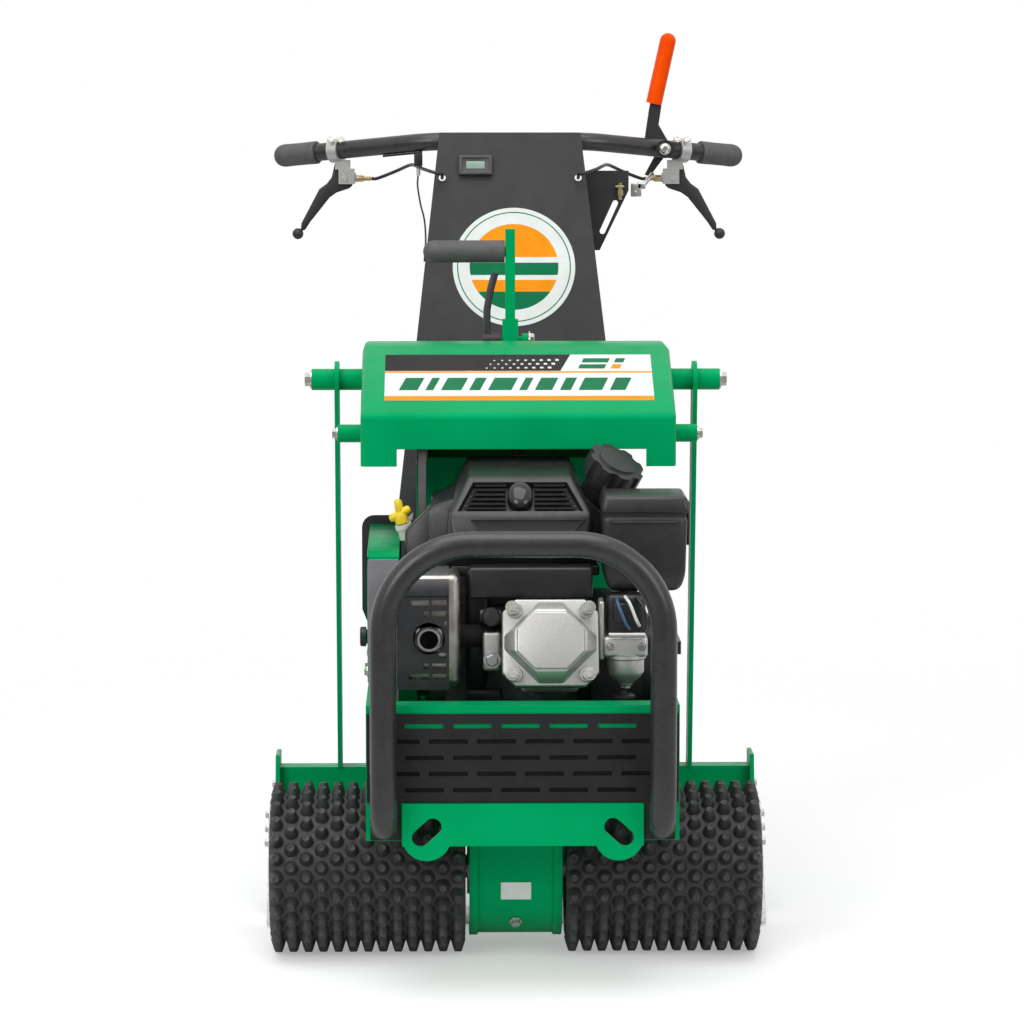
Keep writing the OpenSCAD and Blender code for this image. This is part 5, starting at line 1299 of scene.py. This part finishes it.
tag = bmesh.new()
tag_tilt = math.radians(190)
tag_out = way(0, math.cos(tag_tilt), math.sin(tag_tilt))
tag_up = tag_out.cross(RIGHT)
tag_t, tag_in = 1.1, 0.4
tag_foot = at(-5, 0, case_z) + tag_out * ((case_r - tag_in) * MM)
tag_corners = ((-19, -11.5), (19, -11.5), (19, 11.5), (-19, 11.5))
outline = [across(tag_foot, tag_up, x, z) for x, z in tag_corners]
plate(tag, outline, tag_out * (tag_t * MM))
rounded(tag, 0.3, 1, 40)
piece("bare_tag", tag, white_vinyl)

# %% [markdown]
# The clutch levers are pressed steel blades: broad at the pivot, cranked, and narrow down to a ball. The
# outline is pushed to the blade's thickness, its edges are rolled, and the ball is turned onto its end.

# %% Clutch levers
blade_line = [
    (241, 982), (246, 990), (250, 988), (255, 966), (262, 957), (273, 949), (299, 900), (300, 889),
    (294, 890), (286, 902), (258, 937), (248, 944), (230, 950), (225, 954), (225, 962), (232, 974),
]
blade_y, blade_t, ball_r = 727, 8, 8
ball_profile = [
    (ball_r * math.sin(a), ball_r - ball_r * math.cos(a)) for a in (math.radians(15 * i) for i in range(13))
]
for side, name in ((-1, "left"), (1, "right")):
    lever = bmesh.new()
    plate(lever, [at(side * x, blade_y - blade_t / 2, z) for x, z in blade_line], BACK * (blade_t * MM))
    rounded(lever, 2.2, 3, 40)
    turned(lever, at(side * 304, blade_y, 885 - ball_r), UP, ball_profile, 28)
    for out in (-1, 1):
        hex_bolt(lever, at(side * 236, blade_y + out * blade_t / 2, 964.3), BACK * out, 5.5, 1.4, 1)
    looks = [black_coat, zinc_plate]
    piece(name + "_blade", lever, looks, [name + "_clutch_lever"], 40, name + "_clutch")

# %% [markdown]
# The hour meter on the panel has a bevelled bezel with a recess, and a pale green display lies in the
# recess.

# %% Hour meter
display = coat("display", ((0.25, 0.35, 0.3), (0.29, 0.39, 0.34), 60), (0.15, 0.25, 300), (0.03, 0.1, 700, 1))
meter_grey = coat(
    "meter_grey", ((0.042, 0.042, 0.044), (0.06, 0.06, 0.062), 80), (0.35, 0.48, 300), (0.08, 0.1, 900, 1)
)
meter_x, meter_down = -49, 50


def meter_box(half_x, half_s, low, high):
    """The corners of a block on the panel around the meter's middle."""
    return [
        on_panel(meter_x + x, meter_down + s, -out)
        for out in (low, high)
        for x in (-half_x, half_x)
        for s in (-half_s, half_s)
    ]


meter = bmesh.new()
bezel = skin(meter_box(23, 14, 0.1, 9.5))
sink(bezel, max(bezel.faces, key=lambda f: f.calc_center_median().dot(face_out)), 5.5, 0.6, 2)
rounded(bezel, 0.8)
join(meter, bezel)
form(meter, meter_box(13, 5.5, 7.2, 8.3), 0.3, 1)
piece("meter_bezel", meter, [meter_grey, display], ["hour_meter"], 35)

# %% [markdown]
# A stop switch hangs under the left of the bar: a strap along the tube, a plug with a pale sleeve, and a
# thin lead that runs down to the panel's edge.

# %% Stop switch
switch = bmesh.new()
strap_ends = [(-181, 690.3, 1011.3), (-124, 659.1, 1017.2)]
strap_half, strap_drop, strap_t = 6, 12.9, 3
form(switch, [
    at(x, y + side * strap_half, z - strap_drop - down)
    for x, y, z in strap_ends
    for side in (-1, 1)
    for down in (0, strap_t)
], 0.8)
block(switch, (-136, 654, 983), (-124, 668, 1001.5), 2)
turned(switch, at(-130, 661, 970), UP, [(1.4, 0), (2.6, 0), (3, 2), (3, 14), (1.4, 14)], 20, 1)
piece("stop_switch", switch, [satin_plastic, white_plastic])
lead_stops = [
    (-130, 661, 984), (-130.5, 661, 968), (-131, 658, 955), (-127, 650, 930), (-121.5, 640, 908),
    (-119.6, 628, 880), (-121.5, 619, 850),
]
cord("switch_lead", flowing([at(*p) for p in lead_stops]), 1.3)

# %% [markdown]
# The dipstick has a yellow pull with three rounded arms on a steel rod. Its pale filler neck stays on the
# engine.

# %% Dipstick
dip_foot, dip_way = at(-121, -22, 462), way(-0.27, -0.1, 0.96)
dip_long, neck_up = 96, 74
dip_top = dip_foot + dip_way * (dip_long * MM)


def arm(shape, start, end, radius, look=0):
    """A round arm with blunt ends between two places."""
    length = (end - start).length / MM
    blunt = [(0, 0), (radius * 0.7, radius * 0.16), (radius, radius * 0.7)]
    profile = blunt + [(r, length - h) for r, h in blunt[::-1]]
    turned(shape, start, (end - start).normalized(), profile, 24, look)


pull = bmesh.new()
turned(pull, dip_foot + dip_way * (12 * MM), dip_way, [(0, 0), (4.6, 1), (4.6, 86), (0, 86)], 20)
hub_profile = [(0, 0), (8.4, 0), (8.4, 9), (6, 14), (0, 14)]
turned(pull, dip_top - dip_way * MM, dip_way, hub_profile, 28, 1)
pull_middle = dip_top + dip_way * (10 * MM)
arm_r = 5.2
arm(pull, across(pull_middle, UP, -13, -7), across(pull_middle, UP, 13, 8), arm_r, 1)
arm(pull, pull_middle, across(pull_middle, UP, -3, 19), arm_r, 1)
piece("dip_pull", pull, [turned_steel, yellow_plastic], ["dipstick"], body="dipstick")
neck = bmesh.new()
neck_profile = [(6, 0), (9, 0), (9, 12), (10.5, 13), (10.5, 19), (6, 19), (6, 0)]
turned(neck, dip_foot + dip_way * (neck_up * MM), dip_way, neck_profile, 28)
piece("filler_neck", neck, white_plastic)

# %% [markdown]
# Small hardware finishes the controls: a capped pivot bolt and a forked end on the speed lever, a brass
# fitting on its bracket, clamp screws on the perches, and a nut on the depth lever's cross bolt.

# %% Control hardware
front_y = (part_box("speed_lever")[0].y - axle_y) / MM
pivot = bmesh.new()
washer_t = 2.2
cap_profile = [(0, 0), (9, 0), (8.6, 3), (7, 5.6), (4.4, 6.6), (4, 5.2), (0, 5.2)]
turned(pivot, at(222, front_y, 1007), AHEAD, [(0, 0), (13, 0), (13, washer_t), (0, washer_t)])
turned(pivot, at(222, front_y - washer_t, 1007), AHEAD, cap_profile, 32, 1)
block(pivot, (174, 688, 939), (189, 692, 958), 1.2, 1)
block(pivot, (174, 700, 939), (189, 704, 958), 1.2, 1)
block(pivot, (183, 688, 950), (195, 704, 959), 1.5, 1)
arm(pivot, at(192, 696, 955), at(207, 716, 972), 3.2, 1)
arm(pivot, at(180, 685, 945), at(180, 707, 945), 3, 1)
piece("speed_hardware", pivot, [satin_plastic, zinc_plate], body="speed")

fitting = bmesh.new()
fitting_profile = [(0, 0), (3, 0), (3, 6), (5, 6), (5, 14), (3.4, 14), (3.4, 24), (0, 24)]
turned(fitting, at(156, 649, 936), UP, fitting_profile, 6)
block(fitting, (150, 645, 953), (162, 654.2, 956), 0.6)
piece("cable_fitting", fitting, yellow_zinc)

screws = bmesh.new()
for side in (-1, 1):
    for x in (256, 241):
        hex_bolt(screws, at(side * x, 712, 1019.5), way(0, -0.62, 0.78), 4.6, 1.25)
piece("clamp_screws", screws, zinc_plate)

nuts = bmesh.new()
hex_bolt(nuts, at(20.2, 358, 756), RIGHT, 9)
piece("depth_nut", nuts, zinc_plate, body="depth")

# %% [markdown]
# Before the last line the script writes down two boxes: the one the solids fill and the one the dressed
# machine fills. They have to agree, because dressing never changes the machine's size.

# %% Size and finish
size = {"cad_box_m": cad_box, "visual_box_m": [list(corner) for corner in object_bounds()]}
print("sizes", size)
